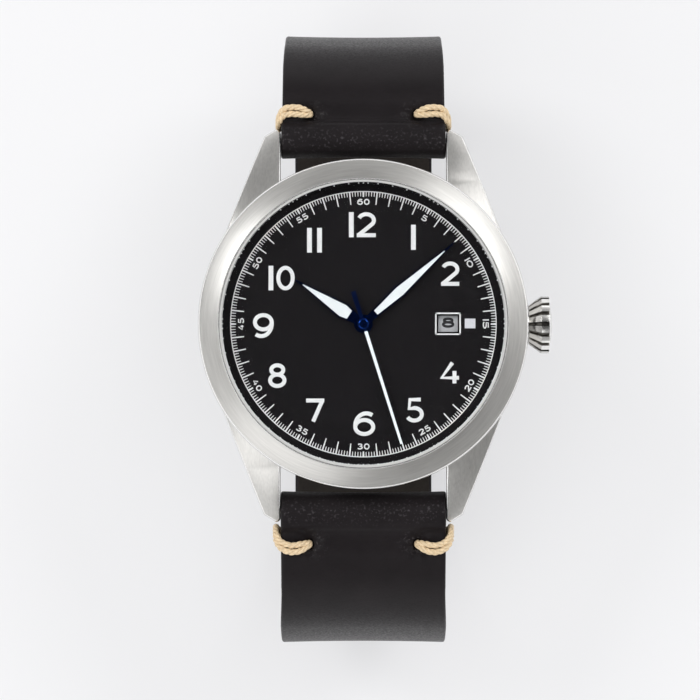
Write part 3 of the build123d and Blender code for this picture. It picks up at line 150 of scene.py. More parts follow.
FIGURES = {
    "0": [bow(0.5, 0.5, 0.5, 0.5, 90, -270, 32)],
    "1": [[(0.5, 0), (0.5, 1)]],
    "2": [bow(0.48, 0.71, 0.48, 0.29, 158, -34) + [(0.02, 0.02)], [(-0.12, 0), (1.08, 0)]],
    "3": [bow(0.45, 0.77, 0.43, 0.23, 150, -88) + bow(0.45, 0.27, 0.52, 0.27, 88, -150)],
    "4": [[(0.62, 1), (0.0, 0.27), (1, 0.27)], [(0.74, 0.6), (0.74, 0)]],
    "5": [[(0.9, 1), (0.14, 1), (0.08, 0.57)] + bow(0.45, 0.3, 0.53, 0.3, 90, -152)],
    "6": [bow(0.62, 0.42, 0.62, 0.58, 58, 180) + bow(0.5, 0.34, 0.5, 0.34, 180, 540, 30)],
    "7": [[(-0.12, 1), (1.12, 1)], [(0.98, 0.98), (0.36, 0)]],
    "8": [bow(0.5, 0.775, 0.42, 0.225, 90, -270, 26), bow(0.5, 0.275, 0.5, 0.275, 90, -270, 30)],
    "9": [bow(0.38, 0.58, 0.62, 0.58, 238, 360) + bow(0.5, 0.66, 0.5, 0.34, 0, 360, 30)],
}
CLOSED_FIGURES = "08"
GAP_SHARE = 0.75
lume_paint = finish("lume_paint", (0.80, 0.80, 0.79), rough=0.55, grain=7000, bump=0.15, vary=0.04)
track_paint = finish("track_paint", (0.72, 0.72, 0.71), rough=0.5, grain=7000, vary=0.04)


def added(name, data):
    """Puts new data in the scene as an object that alone is selected, for the operators that follow."""
    bpy.ops.object.select_all(action="DESELECT")
    piece = bpy.data.objects.new(name, data)
    bpy.context.collection.objects.link(piece)
    piece.select_set(True)
    bpy.context.view_layer.objects.active = piece
    return piece


def round_pen(name, width):
    """An empty curve whose lines come out as round strokes of a width in mm."""
    curve = bpy.data.curves.new(name, "CURVE")
    curve.dimensions = "3D"
    curve.bevel_depth = width / 2 * MM
    curve.bevel_resolution = 2
    curve.use_fill_caps = True
    return curve


def drawn(name, curve, mat):
    """Turns a curve into a mesh with its finish."""
    piece = added(name, curve)
    bpy.ops.object.convert(target="MESH")
    piece.data.materials.append(mat)
    return piece


def written(name, figures, pen, height, thick, mat, body, bar=None):
    """Paint strokes as one flat mesh: figures are (text, centre x, centre y, width, height, turn) in mm.
    The figure 1 is a plain bar, which may have a width of its own, and 11 has one at each of its edges."""
    bar = bar or pen
    curve = round_pen(name, pen)
    for text, at_x, at_y, wide, tall, turn in figures:
        gap = wide - bar * 2 if text == "11" else pen * GAP_SHARE
        bars = text.count("1")
        cell = (wide - gap * (len(text) - 1) - bar * bars) / max(1, len(text) - bars)
        left = -wide / 2
        swing = math.radians(turn)
        for letter in text:
            for line in FIGURES[letter]:
                spline = curve.splines.new("POLY")
                spline.points.add(len(line) - 1)
                spline.use_cyclic_u = letter in CLOSED_FIGURES
                for point, (u, v) in zip(spline.points, line):
                    x = left + pen / 2 + u * (cell - pen)
                    y = -tall / 2 + pen / 2 + v * (tall - pen)
                    if letter == "1":
                        x, y = left + bar / 2, -tall / 2 + v * tall
                        point.radius = bar / pen
                    point.co = ((at_x + x * math.cos(swing) - y * math.sin(swing)) * MM,
                                (at_y + x * math.sin(swing) + y * math.cos(swing)) * MM, 0, 1)
            left += gap + (bar if letter == "1" else cell)
    piece = drawn(name, curve, mat)
    piece.data.transform(Matrix.Diagonal((1, 1, thick / pen, 1)))
    piece.data.transform(Matrix.Translation((0, 0, height)))
    bpy.ops.object.shade_smooth_by_angle(angle=math.radians(40))
    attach(piece, body)
    return piece


# hour figures: text and the left, top, right and bottom edge of the place that each fills, in picture points
PX = 8.25
PX_X, PX_Y = 362.5, 323.75
SPREAD = 0.9
HOUR_PEN, HOUR_BAR, HOUR_THICK = 0.48, 0.58, 0.08
HOUR_PLACES = (
    ("12", 347.6, 212, 376, 237.3), ("1", 409.5, 224.6, 415.1, 249.9), ("2", 439.3, 261.2, 459.2, 285.8),
    ("4", 438, 360.2, 460.1, 385), ("5", 404.4, 396.9, 423.4, 422), ("6", 352, 410.6, 374.7, 435.4),
    ("7", 304.8, 397.8, 324.2, 423), ("8", 267.2, 362.7, 286.3, 387.6), ("9", 252, 312.7, 273.6, 337.9),
    ("10", 267.5, 265.5, 294.5, 290.3), ("11", 305.9, 227.7, 321.6, 252.6))
hours = [(text, ((left + right) / 2 - PX_X) / PX, (PX_Y - (top + low) / 2) / PX, (right - left - SPREAD) / PX,
          (low - top - SPREAD / 3) / PX, 0) for text, left, top, right, low in HOUR_PLACES]
dial_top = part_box("dial")[1].z
hour_figures = written("hour_figures", hours, HOUR_PEN, dial_top, HOUR_THICK, lume_paint, "watch",
                       bar=HOUR_BAR)

MINUTE_R, MINUTE_TALL, MINUTE_PEN, MINUTE_THICK = 14.78, 0.74, 0.15, 0.04
FIVE_WIDE, TEENS_WIDE, TENS_WIDE = 0.72, 1.15, 1.5
minutes = []
for value in range(5, 65, 5):
    turn = -value * 6
    swing = math.radians(turn)
    wide = FIVE_WIDE if value == 5 else TEENS_WIDE if value < 20 else TENS_WIDE
    upright = turn + 180 if 15 < value < 45 else turn
    minutes.append((str(value), -MINUTE_R * math.sin(swing), MINUTE_R * math.cos(swing), wide, MINUTE_TALL,
                    upright))
minute_figures = written("minute_figures", minutes, MINUTE_PEN, dial_top, MINUTE_THICK, track_paint, "watch")

# Minute track. Thin white paint printed at the dial's edge: a ring with a stroke for each fifth of a
# minute, long at the minutes, and short and broad at every fifth minute.
TRACK_R = 16.0
RING_IN, RING_OUT, PRINT_SINK, PRINT_RISE = 0.02, 0.09, 0.02, 0.015
MINUTE_STROKE, FIFTH_STROKE, FIVE_STROKE = (1.5, 0.16), (0.55, 0.10), (0.62, 0.22)
OUTER_SHARE, INNER_SHARE = 1.1, 0.75


def flat_stroke(mesh, radius, reach, width, turn, height):
    """One print stroke from a radius inwards, a little narrower at its inner end."""
    swing = Matrix.Rotation(math.radians(-turn), 4, "Z")
    ends = ((-1, 0, OUTER_SHARE), (1, 0, OUTER_SHARE), (1, reach, INNER_SHARE), (-1, reach, INNER_SHARE))
    corners = [swing @ Vector((side * width * share / 2 * MM, (radius - depth) * MM, height))
               for side, depth, share in ends]
    floor = [mesh.verts.new(c - Vector((0, 0, PRINT_SINK * MM))) for c in corners]
    top = [mesh.verts.new(c + Vector((0, 0, PRINT_RISE * MM))) for c in corners]
    mesh.faces.new(reversed(top))
    mesh.faces.new(floor)
    for i in range(4):
        mesh.faces.new((top[i], top[(i + 1) % 4], floor[(i + 1) % 4], floor[i]))


def made(name, mesh, mat, body):
    """Turns worked geometry into a finished piece on its body."""
    bmesh.ops.recalc_face_normals(mesh, faces=mesh.faces)
    data = bpy.data.meshes.new(name)
    mesh.to_mesh(data)
    mesh.free()
    piece = added(name, data)
    data.materials.append(mat)
    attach(piece, body)
    return piece


track = bmesh.new()
for fifth in range(300):
    minute, part = divmod(fifth, 5)
    reach, width = FIFTH_STROKE if part else MINUTE_STROKE if minute % 5 else FIVE_STROKE
    flat_stroke(track, TRACK_R, reach, width, fifth * 360 / 300, dial_top)
made("minute_track", track, track_paint, "watch")


def lathe(name, profile, mat, body, turns=192, closed=True):
    """A piece turned about the hands' axis: profile is (radius, height) in mm, the outline of one side."""
    mesh = bpy.data.meshes.new(name)
    count = len(profile)
    edges = [(i, i + 1) for i in range(count - 1)] + ([(count - 1, 0)] if closed else [])
    mesh.from_pydata([(r * MM, 0, z * MM) for r, z in profile], edges, [])
    piece = added(name, mesh)
    bpy.ops.object.mode_set(mode="EDIT")
    bpy.ops.mesh.select_all(action="SELECT")
    bpy.ops.mesh.spin(steps=turns, angle=math.tau, center=(0, 0, 0), axis=(0, 0, 1))
    bpy.ops.mesh.select_all(action="SELECT")
    bpy.ops.mesh.remove_doubles(threshold=1e-7)
    bpy.ops.mesh.normals_make_consistent(inside=False)
    bpy.ops.object.mode_set(mode="OBJECT")
    bpy.ops.object.shade_smooth_by_angle(angle=math.radians(28))
    mesh.materials.append(mat)
    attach(piece, body)
    return piece


def band(name, inner, outer, low, high, mat):
    """A plain flat ring."""
    return lathe(name, [(inner, low), (outer, low), (outer, high), (inner, high)], mat, "watch")


top_mm = dial_top / MM
track_ring = band("track_ring", TRACK_R - RING_IN, TRACK_R + RING_OUT, top_mm - PRINT_SINK,
                  top_mm + PRINT_RISE, track_paint)

# Date window. An opening in the dial with a printed white frame and a black lip inside it, which shows
# one figure of the date ring. Beside it a luminous square stands for the 3.
WINDOW = (8.66, -1.31, 11.76, 1.38)
LINE, LIP, LIP_DOWN = 0.17, 0.2, 0.06
SQUARE = (12.24, -0.51, 13.52, 0.65)
SEAT, FRAME_UP, SQUARE_UP = 0.01, 0.04, 0.05


def strip(mesh, left, low, right, high, floor, top):
    """A flat printed bar between four edges, in mm."""
    for vert in bmesh.ops.create_cube(mesh, size=1)["verts"]:
        vert.co = Vector(((left if vert.co.x < 0 else right) * MM, (low if vert.co.y < 0 else high) * MM,
                          (floor if vert.co.z < 0 else top) * MM))


def border(name, left, low, right, high, width, floor, top, mat):
    """Four flat bars along the inside of a rectangle, as one piece."""
    mesh = bmesh.new()
    for edges in ((left, low, right, low + width), (left, high - width, right, high),
                  (left, low, left + width, high), (right - width, low, right, high)):
        strip(mesh, *edges, floor, top)
    return made(name, mesh, mat, "watch")


left, low, right, high = WINDOW
border("date_frame", *WINDOW, LINE, top_mm - SEAT, top_mm + FRAME_UP, track_paint)
border("date_lip", left + LINE, low + LINE, right - LINE, high - LINE, LIP, top_mm - LIP_DOWN,
               top_mm + SEAT, dial_black)
square = bmesh.new()
strip(square, *SQUARE, top_mm - SEAT, top_mm + SQUARE_UP)
square_paint = finish("square_paint", (0.56, 0.56, 0.58), rough=0.6, grain=5000, bump=0.2, vary=0.08)
made("hour_square", square, square_paint, "watch")

# Date ring. A ring painted pale grey that lies under the dial and turns once a month, with the days
# printed on it in black. At rest the 8 stands in the window.
DATE_R, DATE_WIDE, DATE_TALL, DATE_PEN, DATE_THICK = 10.24, 1.52, 1.26, 0.32, 0.03
SHOWN_DAY, DATE_SET = 8, 1.1
date_paint = finish("date_paint", (0.46, 0.46, 0.47), rough=0.5, grain=3000, vary=0.08)
date_ink = finish("date_ink", (0.004, 0.004, 0.005), rough=0.5, grain=3000)
dress("date_ring", date_paint)
dates = []
for day in range(1, 32):
    turn = -(day - SHOWN_DAY) * 360 / 31
    swing = math.radians(turn + DATE_SET)
    dates.append((str(day), DATE_R * math.cos(swing), DATE_R * math.sin(swing), DATE_WIDE, DATE_TALL, turn))
date_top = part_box("date_ring")[1].z
written("date_figures", dates, DATE_PEN, date_top, DATE_THICK, date_ink, "date")


# Hands. Steel, heat blued and polished, with luminous paint in the hour and minute hands. The seconds
# hand is painted white from its hub outwards, keeps its blue on the tail, and is pressed on by its cap.
def tone(mat):
    """The output that colours a finish."""
    return mat.node_tree.nodes["Principled BSDF"].inputs["Base Color"].links[0].from_socket


blued = finish("blued_steel", (0.008, 0.032, 0.17), metal=1.0, rough=0.12, grain=2500, bump=0.05, vary=0.3)
lume_fill = finish("lume_fill", (0.72, 0.75, 0.75), rough=0.5, grain=6000, bump=0.2, vary=0.04)
for name in ("hour", "minute"):
    dress(name + "_hand", blued)
    dress(name + "_lume", lume_fill)
SECONDS_TURN = math.radians(162.4)
WHITE_FROM = 0.98 * MM
TAIL_BLUE = (0.003, 0.009, 0.045, 1)
hand_white = finish("seconds_white", (0.78, 0.84, 0.86), rough=0.4, grain=6000, vary=0.03)
place = wired(hand_white, "TexCoord", out="Object")
outwards = (math.sin(SECONDS_TURN), math.cos(SECONDS_TURN), 0)
along = wired(hand_white, "VectorMath", {0: place, 1: outwards}, out="Value", operation="DOT_PRODUCT")
painted = reckon(hand_white, "GREATER_THAN", along, WHITE_FROM)
feed(hand_white, {"Base Color": blend(hand_white, painted, TAIL_BLUE, tone(hand_white)),
                  "Metallic": reckon(hand_white, "SUBTRACT", 1.0, painted)})
dress("seconds_hand", hand_white)
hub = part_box("seconds_hand")[1].z / MM
seconds_cap = lathe("seconds_cap", [
    (0, hub - 0.02), (0.6, hub - 0.02), (0.6, hub + 0.02), (0.52, hub + 0.06), (0.24, hub + 0.06),
    (0.2, hub + 0.03), (0.17, hub + 0.03), (0.15, hub + 0.07), (0, hub + 0.07)],
    blued, "seconds", turns=48, closed=False)

# Rehaut. A turned and polished steel ring that stands on the dial's rim. A black band is painted on its step
# as its dark reflection, and on that a short white dash for each minute, three at every fifth, as painted
# reflections of the dial's marks.
STEP_DOWN, BAND_T = 0.1, 0.01
DASH_R, DASH_REACH, DASH_WIDE, DASH_APART = 17.1, 0.17, 0.16, 0.32
polished = finish("polished_steel", (0.60, 0.595, 0.585), metal=1.0, rough=0.10, grain=1500, vary=0.03)
low_z, high_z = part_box("rehaut_ring")[0].z / MM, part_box("rehaut_ring")[1].z / MM
step_z = high_z - STEP_DOWN
rehaut = lathe("rehaut", [
    (16.85, low_z), (17.35, low_z), (17.35, high_z), (17.16, high_z), (17.14, step_z), (16.9, step_z)],
    polished, "watch")
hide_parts("rehaut_ring")
# Black band on the step: a painted dark reflection.
band("step_painted_reflection", 16.91, 17.13, step_z - BAND_T, step_z + BAND_T, dial_black)
# White dashes on the step: painted reflections of the dial's minute marks and figures.
painted_reflections = bmesh.new()
for minute in range(60):
    for aside in (0,) if minute % 5 else (-DASH_APART, 0, DASH_APART):
        flat_stroke(painted_reflections, DASH_R, DASH_REACH, DASH_WIDE, (minute + aside) * 6, (step_z + BAND_T) * MM)
made("rehaut_painted_reflections", painted_reflections, track_paint, "watch")

# Crystal. Clear, slightly domed glass with a ground bevel and a coating that keeps it free of glare,
# sealed in the bezel by a nylon sleeve. Light passes through it to the dial.
GLASS_R, DOME, GROUND, DOME_STEPS = 17.1, 0.35, 0.08, 12
glass = blank("coated_glass")
feed(glass, {"Base Color": (0.97, 0.985, 1.0, 1), "Roughness": 0.02, "Transmission Weight": 1.0, "IOR": 1.45,
             "Specular IOR Level": 0.0, "Specular Tint": (0.06, 0.07, 0.10, 1)})
shadow = wired(glass, "LightPath", out="Is Shadow Ray")
clear = wired(glass, "BsdfTransparent")
solid_glass = glass.node_tree.nodes["Principled BSDF"].outputs["BSDF"]
passing = wired(glass, "MixShader", {"Fac": shadow, 1: solid_glass, 2: clear})
feed(glass, {"Surface": passing}, "Material Output")
glass_low, glass_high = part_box("crystal")[0].z / MM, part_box("crystal")[1].z / MM
ball_r = (GLASS_R - GROUND) ** 2 / (2 * DOME) + DOME / 2
dome_line = []
for i in range(DOME_STEPS + 1):
    r = (GLASS_R - GROUND) * (1 - i / DOME_STEPS)
    dome_line.append((r, glass_high - ball_r + math.sqrt(ball_r ** 2 - r ** 2)))
crystal = lathe("crystal_glass", [
    (0, glass_low), (GLASS_R, glass_low), (GLASS_R, glass_high - DOME - GROUND), *dome_line],
    glass, "watch", closed=False)
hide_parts("crystal")
dress("crystal_gasket", finish("sleeve_nylon", (0.55, 0.55, 0.54), rough=0.4, grain=2000))


# Bezel. Stainless steel, turned and pressed on the case, its flat top brushed in circles, its inner
# bevel and its flank polished.
CIRCLES = (7, 0.006, 7)


def brushed(name, colour, rough, stretch=None, relief=0.25):
    """Steel with fine brush lines, in circles about the hands' axis, or straight with a stretched grain."""
    mat = blank(name)
    at = wired(mat, "TexCoord", out="Object")
    if not stretch:
        parts = wired(mat, "SeparateXYZ", {"Vector": at}).node.outputs
        flat = wired(mat, "CombineXYZ", {"X": parts["X"], "Y": parts["Y"]})
        radius = wired(mat, "VectorMath", {0: flat}, out="Value", operation="LENGTH")
        angle = reckon(mat, "ARCTAN2", parts["Y"], parts["X"])
        at = wired(mat, "CombineXYZ", {"X": radius, "Y": angle, "Z": parts["Z"]})
        feed(mat, {"Anisotropic Rotation": 0.25})
    at = wired(mat, "Mapping", {"Vector": at, "Scale": stretch or CIRCLES})
    feed(mat, {"Metallic": 1.0, "Anisotropic": 0.6,
               "Tangent": wired(mat, "Tangent", direction_type="RADIAL", axis="Y" if stretch else "Z")})
    grained(mat, at, colour, rough, 900, detail=3, vary=0.18, swing=0.05, relief=relief, deep=0.004)
    return mat


BEZEL_STEEL, CASE_STEEL = (0.62, 0.61, 0.59), (0.60, 0.59, 0.57)
FLANK_R, INNER_R, UPRIGHT, FLAT = 19.7, 17.8, 0.3, 0.9
# A brighter copy of the polished steel for the polished edges; the extra brightness is a painted highlight.
edge_polish_painted_bright = finish("edge_polish_painted_bright", (0.74, 0.735, 0.725), metal=1.0, rough=0.2, grain=1500, vary=0.03)
bez_low, bez_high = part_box("bezel")[0].z / MM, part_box("bezel")[1].z / MM
bezel = lathe("bezel_ring", [
    (17.35, bez_low), (19.9, bez_low), (20.0, bez_low + 0.1), (20.0, bez_low + 1.0), (19.97, bez_low + 1.2),
    (19.88, bez_low + 1.36), (19.74, bez_low + 1.47), (17.72, bez_high - 0.05), (17.64, bez_high - 0.02),
    (17.58, bez_high), (17.5, bez_high - 0.05), (17.38, bez_high - 0.2), (17.35, bez_high - 0.25)],
    brushed("bezel_brushed", BEZEL_STEEL, 0.36), "watch", turns=256)
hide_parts("bezel")
bezel.data.materials.append(edge_polish_painted_bright)
for face in bezel.data.polygons:
    out = math.hypot(face.center.x, face.center.y) / MM
    if out > FLANK_R or (out < INNER_R and face.normal.z < FLAT) or face.normal.z < UPRIGHT:
        face.material_index = 1


# Case middle. Machined steel with four lugs, satin on top and on the flanks, every edge broken and
# polished. The lugs are drilled inside for the spring bars. The back screws in on a rubber gasket.
JOIN_ANGLE, EDGE_ANGLE, SMOOTH_ANGLE = math.radians(1.5), math.radians(28), math.radians(30)


def softened(node, name, mat, body, edge, rim=None, clamp=True):
    """A copy of a CAD node with its flats joined, its edges rounded by the given radius, and its finish.
    The rounded edges may have a finish of their own."""
    piece = added(name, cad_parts[node].data.copy())
    bpy.ops.object.mode_set(mode="EDIT")
    bpy.ops.mesh.select_all(action="SELECT")
    bpy.ops.mesh.remove_doubles(threshold=1e-6)
    if piece.data.has_custom_normals:
        bpy.ops.mesh.customdata_custom_splitnormals_clear()
    bpy.ops.mesh.dissolve_limited(angle_limit=JOIN_ANGLE)
    bpy.ops.object.mode_set(mode="OBJECT")
    rounding = piece.modifiers.new("edges", "BEVEL")
    rounding.width = edge * MM
    rounding.segments = 3
    rounding.limit_method = "ANGLE"
    rounding.angle_limit = EDGE_ANGLE
    rounding.use_clamp_overlap = clamp
    rounding.harden_normals = False
    piece.data.materials.clear()
    piece.data.materials.append(mat)
    if rim:
        piece.data.materials.append(rim)
        rounding.material = 1
    bpy.ops.object.modifier_apply(modifier=rounding.name)
    bpy.ops.object.shade_smooth_by_angle(angle=SMOOTH_ANGLE)
    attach(piece, body)
    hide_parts(node)
    return piece


case_steel = brushed("case_brushed", CASE_STEEL, 0.30, stretch=(6, 0.3, 6))
case = softened("case_body", "case_middle", case_steel, "watch", edge=0.2, rim=edge_polish_painted_bright, clamp=False)
back_steel = brushed("back_brushed", CASE_STEEL, 0.33, relief=0.3)
back = softened("caseback", "screwed_back", back_steel, "watch", edge=0.1)
seal = finish("seal_rubber", (0.02, 0.02, 0.02), rough=0.6, grain=2000)
dress("caseback_gasket", seal)

# Crown. Turned steel with flat-topped ridges up its cone, polished, on its stem in a tube pressed into
# the case. The grooves between the ridges are painted dark grey as their shade, up to the plain outer rim.
STEM_Z, GROOVES, RIM_L = 49.7, 16, 0.41
# Dark grey painted into the grooves as their shade.
GROOVE_SHADE_GREY = (0.21, 0.20, 0.185, 1)
# Polished steel made brighter than the plain polish; the extra brightness is a painted highlight.
ridged = finish("ridged_steel", (0.86, 0.85, 0.83), metal=1.0, rough=0.22, grain=1500, vary=0.03)
at = wired(ridged, "SeparateXYZ", {"Vector": wired(ridged, "TexCoord", out="Object")}).node.outputs
angle = reckon(ridged, "ARCTAN2", reckon(ridged, "SUBTRACT", at["Z"], STEM_Z * MM), at["Y"])
wave = reckon(ridged, "COSINE", reckon(ridged, "MULTIPLY", angle, GROOVES))
# Where the grooves lie: the mask of the painted shade, kept off the plain outer rim below.
groove = ramp(ridged, wave, 0.1, 0.55, 0, 1, "SMOOTHSTEP")
inboard = reckon(ridged, "LESS_THAN", at["X"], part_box("crown")[1].x - RIM_L * MM)
cut = reckon(ridged, "MULTIPLY", groove, inboard)
feed(ridged, {"Base Color": blend(ridged, cut, tone(ridged), GROOVE_SHADE_GREY)})
crown = softened("crown", "fluted_crown", ridged, "crown_stem", edge=0.06)
for node in ("crown_tube", "winding_stem", "sliding_pinion", "setting_lever"):
    dress(node, polished)
dress("crown_gasket", seal)

# Movement. Self-winding, held in the case by a nylon ring: nickelled plates and bridges with a fine
# stipple, gilt wheels, polished steel pinions and fork, blued screws and hairspring.
nickel = finish("nickel_plate", (0.60, 0.58, 0.54), metal=1.0, rough=0.32, grain=2500, bump=0.3, vary=0.08)
gilt = finish("gilt_brass", (0.72, 0.52, 0.22), metal=1.0, rough=0.28, grain=2000, bump=0.15, vary=0.08)
screw_blue = finish("screw_blue", (0.015, 0.04, 0.22), metal=1.0, rough=0.2, grain=2500, vary=0.2)
nylon = finish("holder_nylon", (0.62, 0.62, 0.60), rough=0.55, grain=1200, bump=0.1)
for node in ("main_plate", "barrel_bridge", "train_bridge", "balance_cock", "rotor"):
    dress(node, nickel)
for node in ("barrel", "centre_wheel", "third_wheel", "fourth_wheel", "balance_wheel", "minute_wheel",
             "hour_wheel"):
    dress(node, gilt)
for node in ("barrel_arbor", "escape_wheel", "pallet_fork", "cannon_pinion"):
    dress(node, polished)
for node in ("bridge_screws", "rotor_screw", "hairspring"):
    dress(node, screw_blue)
dress("movement_holder", nylon)

# Spring bars. Steel tubes with a sprung tip at each end, turned and polished. The tips snap into the
# holes in the lugs and hold the strap.
for node in ("spring_bar_tubes", "spring_bar_tip_12_left", "spring_bar_tip_12_right",
             "spring_bar_tip_6_left", "spring_bar_tip_6_right"):
    dress(node, polished)


# Strap. Waxed black cowhide 1.7 mm thick, cut from one sheet, its edges painted. Each half is folded
# round its spring bar, pressed, and runs on under the wrist. Its side line is that of the grain face.
# Pale grey of the painted glints on the pulled hide.
GLINT_GREY = (0.062, 0.056, 0.06, 1)


def leather(name, colour, rough=0.42, pore=1.0, depth=0.10):
    """Fine-grained hide: cells of the grain, pores and soft broad mottling. Where it is pulled, in the
    fold and at the stitches, the relief is stronger and pale grey specks are painted on as glints."""
    mat = blank(name)
    place = wired(mat, "TexCoord", out="Object")
    cells = wired(mat, "TexVoronoi", {"Vector": place, "Scale": 2600 / pore}, feature="DISTANCE_TO_EDGE")
    fine = wired(mat, "TexNoise", {"Vector": place, "Scale": 3800 / pore, "Detail": 5})
    broad = wired(mat, "TexNoise", {"Vector": place, "Scale": 260, "Detail": 4})
    dots = wired(mat, "TexNoise", {"Vector": place, "Scale": 3300, "Detail": 2})
    pull = wired(mat, "Attribute", out="Fac", attribute_name="pull")
    tint = blend(mat, broad, (*[c * 0.65 for c in colour], 1), (*[c * 1.45 for c in colour], 1))
    # Sparse pale specks where the hide is pulled: painted glints.
    painted_glints = reckon(mat, "MULTIPLY", ramp(mat, dots, 0.57, 0.72, 0, 1), pull)
    crease = reckon(mat, "SMOOTH_MIN", cells, 0.12, 0.1)
    relief = {"Distance": depth * MM, "Strength": ramp(mat, pull, 0, 1, 0.25, 1.0),
              "Height": reckon(mat, "MULTIPLY_ADD", fine, 0.22, crease)}
    feed(mat, {"Specular IOR Level": 0.16, "Sheen Weight": 0.05, "Sheen Roughness": 0.4,
               "Base Color": blend(mat, painted_glints, tint, GLINT_GREY),
               "Roughness": ramp(mat, fine, 0.3, 0.7, rough - 0.12, rough + 0.14),
               "Normal": wired(mat, "Bump", relief)})
    return mat


HIDE, FLAP_END, FLAP_SHARE, FLAP_TURN, FLAP_AIR = 1.7, 0.4, 0.4, math.radians(40), 0.05
BAR_Y, BAR_Z, BAR_WRAP = 22.6, 46.5, 2.5
BOW, SIDE_R = 70, 34
TOP_Z = 49.0
HOLES_12, HOLES_6 = (6.55, 25.9), (6.6, 26.7)
black_hide = leather("black_hide", (0.0088, 0.0068, 0.0078))
flesh = leather("flesh_side", (0.020, 0.0165, 0.0145), rough=0.7, pore=1.6, depth=0.16)


class Edge:
    """The grain face of the hide seen from the side, in (y, z): straight runs and bends, with the
    heading in degrees and the hide's thickness at each place."""

    def __init__(self, y, z, heading, thick):
        self.rows = [(y, z, heading, thick)]

    def run(self, length, steps, thick=HIDE):
        """A straight run, over which the hide comes to the given thickness."""
        y, z, heading, start = self.rows[-1]
        for i in range(1, steps + 1):
            share = i / steps
            self.rows.append((y + math.cos(math.radians(heading)) * length * share,
                              z + math.sin(math.radians(heading)) * length * share, heading,
                              start + (thick - start) * share))

    def bend(self, radius, angle, steps, thick=HIDE):
        """A bend round the inside of the hide: the grain face turns right by the angle."""
        y, z, heading, start = self.rows[-1]
        turn = math.radians(heading)
        cy, cz = y + radius * math.sin(turn), z - radius * math.cos(turn)
        for i in range(1, steps + 1):
            now = heading - angle * i / steps
            turn = math.radians(now)
            self.rows.append((cy - radius * math.sin(turn), cz + radius * math.cos(turn), now,
                              start + (thick - start) * i / steps))


def pressed(row, share):
    """Presses the fold flatter past the spring bar: the grain face moves in and the hide thins with it."""
    y, z, heading, thick = row
    past = max(0, BAR_Y - y) * (1 - share)
    return y + past, z, heading, thick - past


def upper_part(bend_r, low_r, share):
    """Flap, fold pressed round the spring bar, and the three bends down to the flat under the wrist."""
    end_y = BAR_Y + (bend_r - HIDE / 2) * math.sin(FLAP_TURN)
    end_z = TOP_Z - HIDE - (bend_r - HIDE / 2) * (1 - math.cos(FLAP_TURN)) - FLAP_AIR
    low = BAR_Z - BAR_WRAP
    slope = math.degrees(math.atan2(low - end_z, BAR_Y - end_y))
    length = math.hypot(low - end_z, BAR_Y - end_y)
    line = Edge(end_y, end_z, slope % 360, FLAP_END)
    line.run(length * FLAP_SHARE, 6)
    line.run(length * (1 - FLAP_SHARE), 8)
    line.rows[-1] = (BAR_Y, low, 180, HIDE)
    line.bend(BAR_WRAP, 180, 26)
    line.rows = [pressed(row, share) for row in line.rows]
    line.bend(bend_r, BOW, 64)
    line.bend(SIDE_R, 2 * (90 - BOW), 22)
    line.bend(low_r, BOW, 34)
    return line


CREASE_Y, CREASE_OUT, CREASE_IN = 25.5, 1.9, 0.65
DIMPLE, DIMPLE_R = 0.6, 0.95
PUCKERS, PUCKER, PUCKER_R, PUCKER_W = 7, 0.11, 1.3, 0.6


def sunk(x, y, z, groove, holes):
    """How far the grain face is drawn in at a place: the crease across the strap and the stitch holes."""
    if z < BAR_Z or y < BAR_Y - 1:
        return 0
    beyond = y - CREASE_Y
    depth = groove * math.exp(-(beyond / (CREASE_OUT if beyond > 0 else CREASE_IN)) ** 2)
    away = math.hypot(abs(x) - holes[0], y - holes[1])
    turn = math.atan2(y - holes[1], abs(x) - holes[0])
    depth += DIMPLE * math.exp(-(away / DIMPLE_R) ** 2)
    depth += PUCKER * math.cos(PUCKERS * turn) * math.exp(-((away - PUCKER_R) / PUCKER_W) ** 2)
    return depth


FOLD_PULL, FOLD_REACH = 0.8, 2.2
HOLE_PULL, HOLE_REACH, HOLE_ASIDE = 1.3, 1.2, 0.6


def tension(x, y, z, holes):
    """How hard the hide is pulled at a place: over the fold, and just inboard of the stitch holes."""
    if z <= BAR_Z:
        return 0
    around = math.hypot(abs(x) - holes[0] + HOLE_ASIDE, y - holes[1])
    return max(FOLD_PULL * max(0, 1 - abs(y - BAR_Y) / FOLD_REACH),
               HOLE_PULL * math.exp(-(around / HOLE_REACH) ** 2))


STRAP_END_W = 18.0
TAPER_Z, END_Z, LUG_FREE_Z, FREE_RUN = 26.5, 7.6, 45.0, 6
SWELL_Y, SWELL_REACH = BAR_Y - 1.6, 4.5
EDGE_R, EDGE_SHARE = 0.3, 0.4
HOLLOW, TIP_FLAT = 0.16, 0.35


def strap_width(y, z, full, spread, swell):
    """Full width down to half height, a swell at the fold, a spread below the lugs, then narrowing to the
    buckle width."""
    share = max(0, min(1, (z - END_Z) / (TAPER_Z - END_Z)))
    free = max(0, min(1, (LUG_FREE_Z - z) / FREE_RUN))
    wide = STRAP_END_W + (full + spread * free - STRAP_END_W) * share
    if z > BAR_Z - BAR_WRAP - 1:
        wide += 2 * swell * math.exp(-((y - SWELL_Y) / SWELL_REACH) ** 2)
    return wide


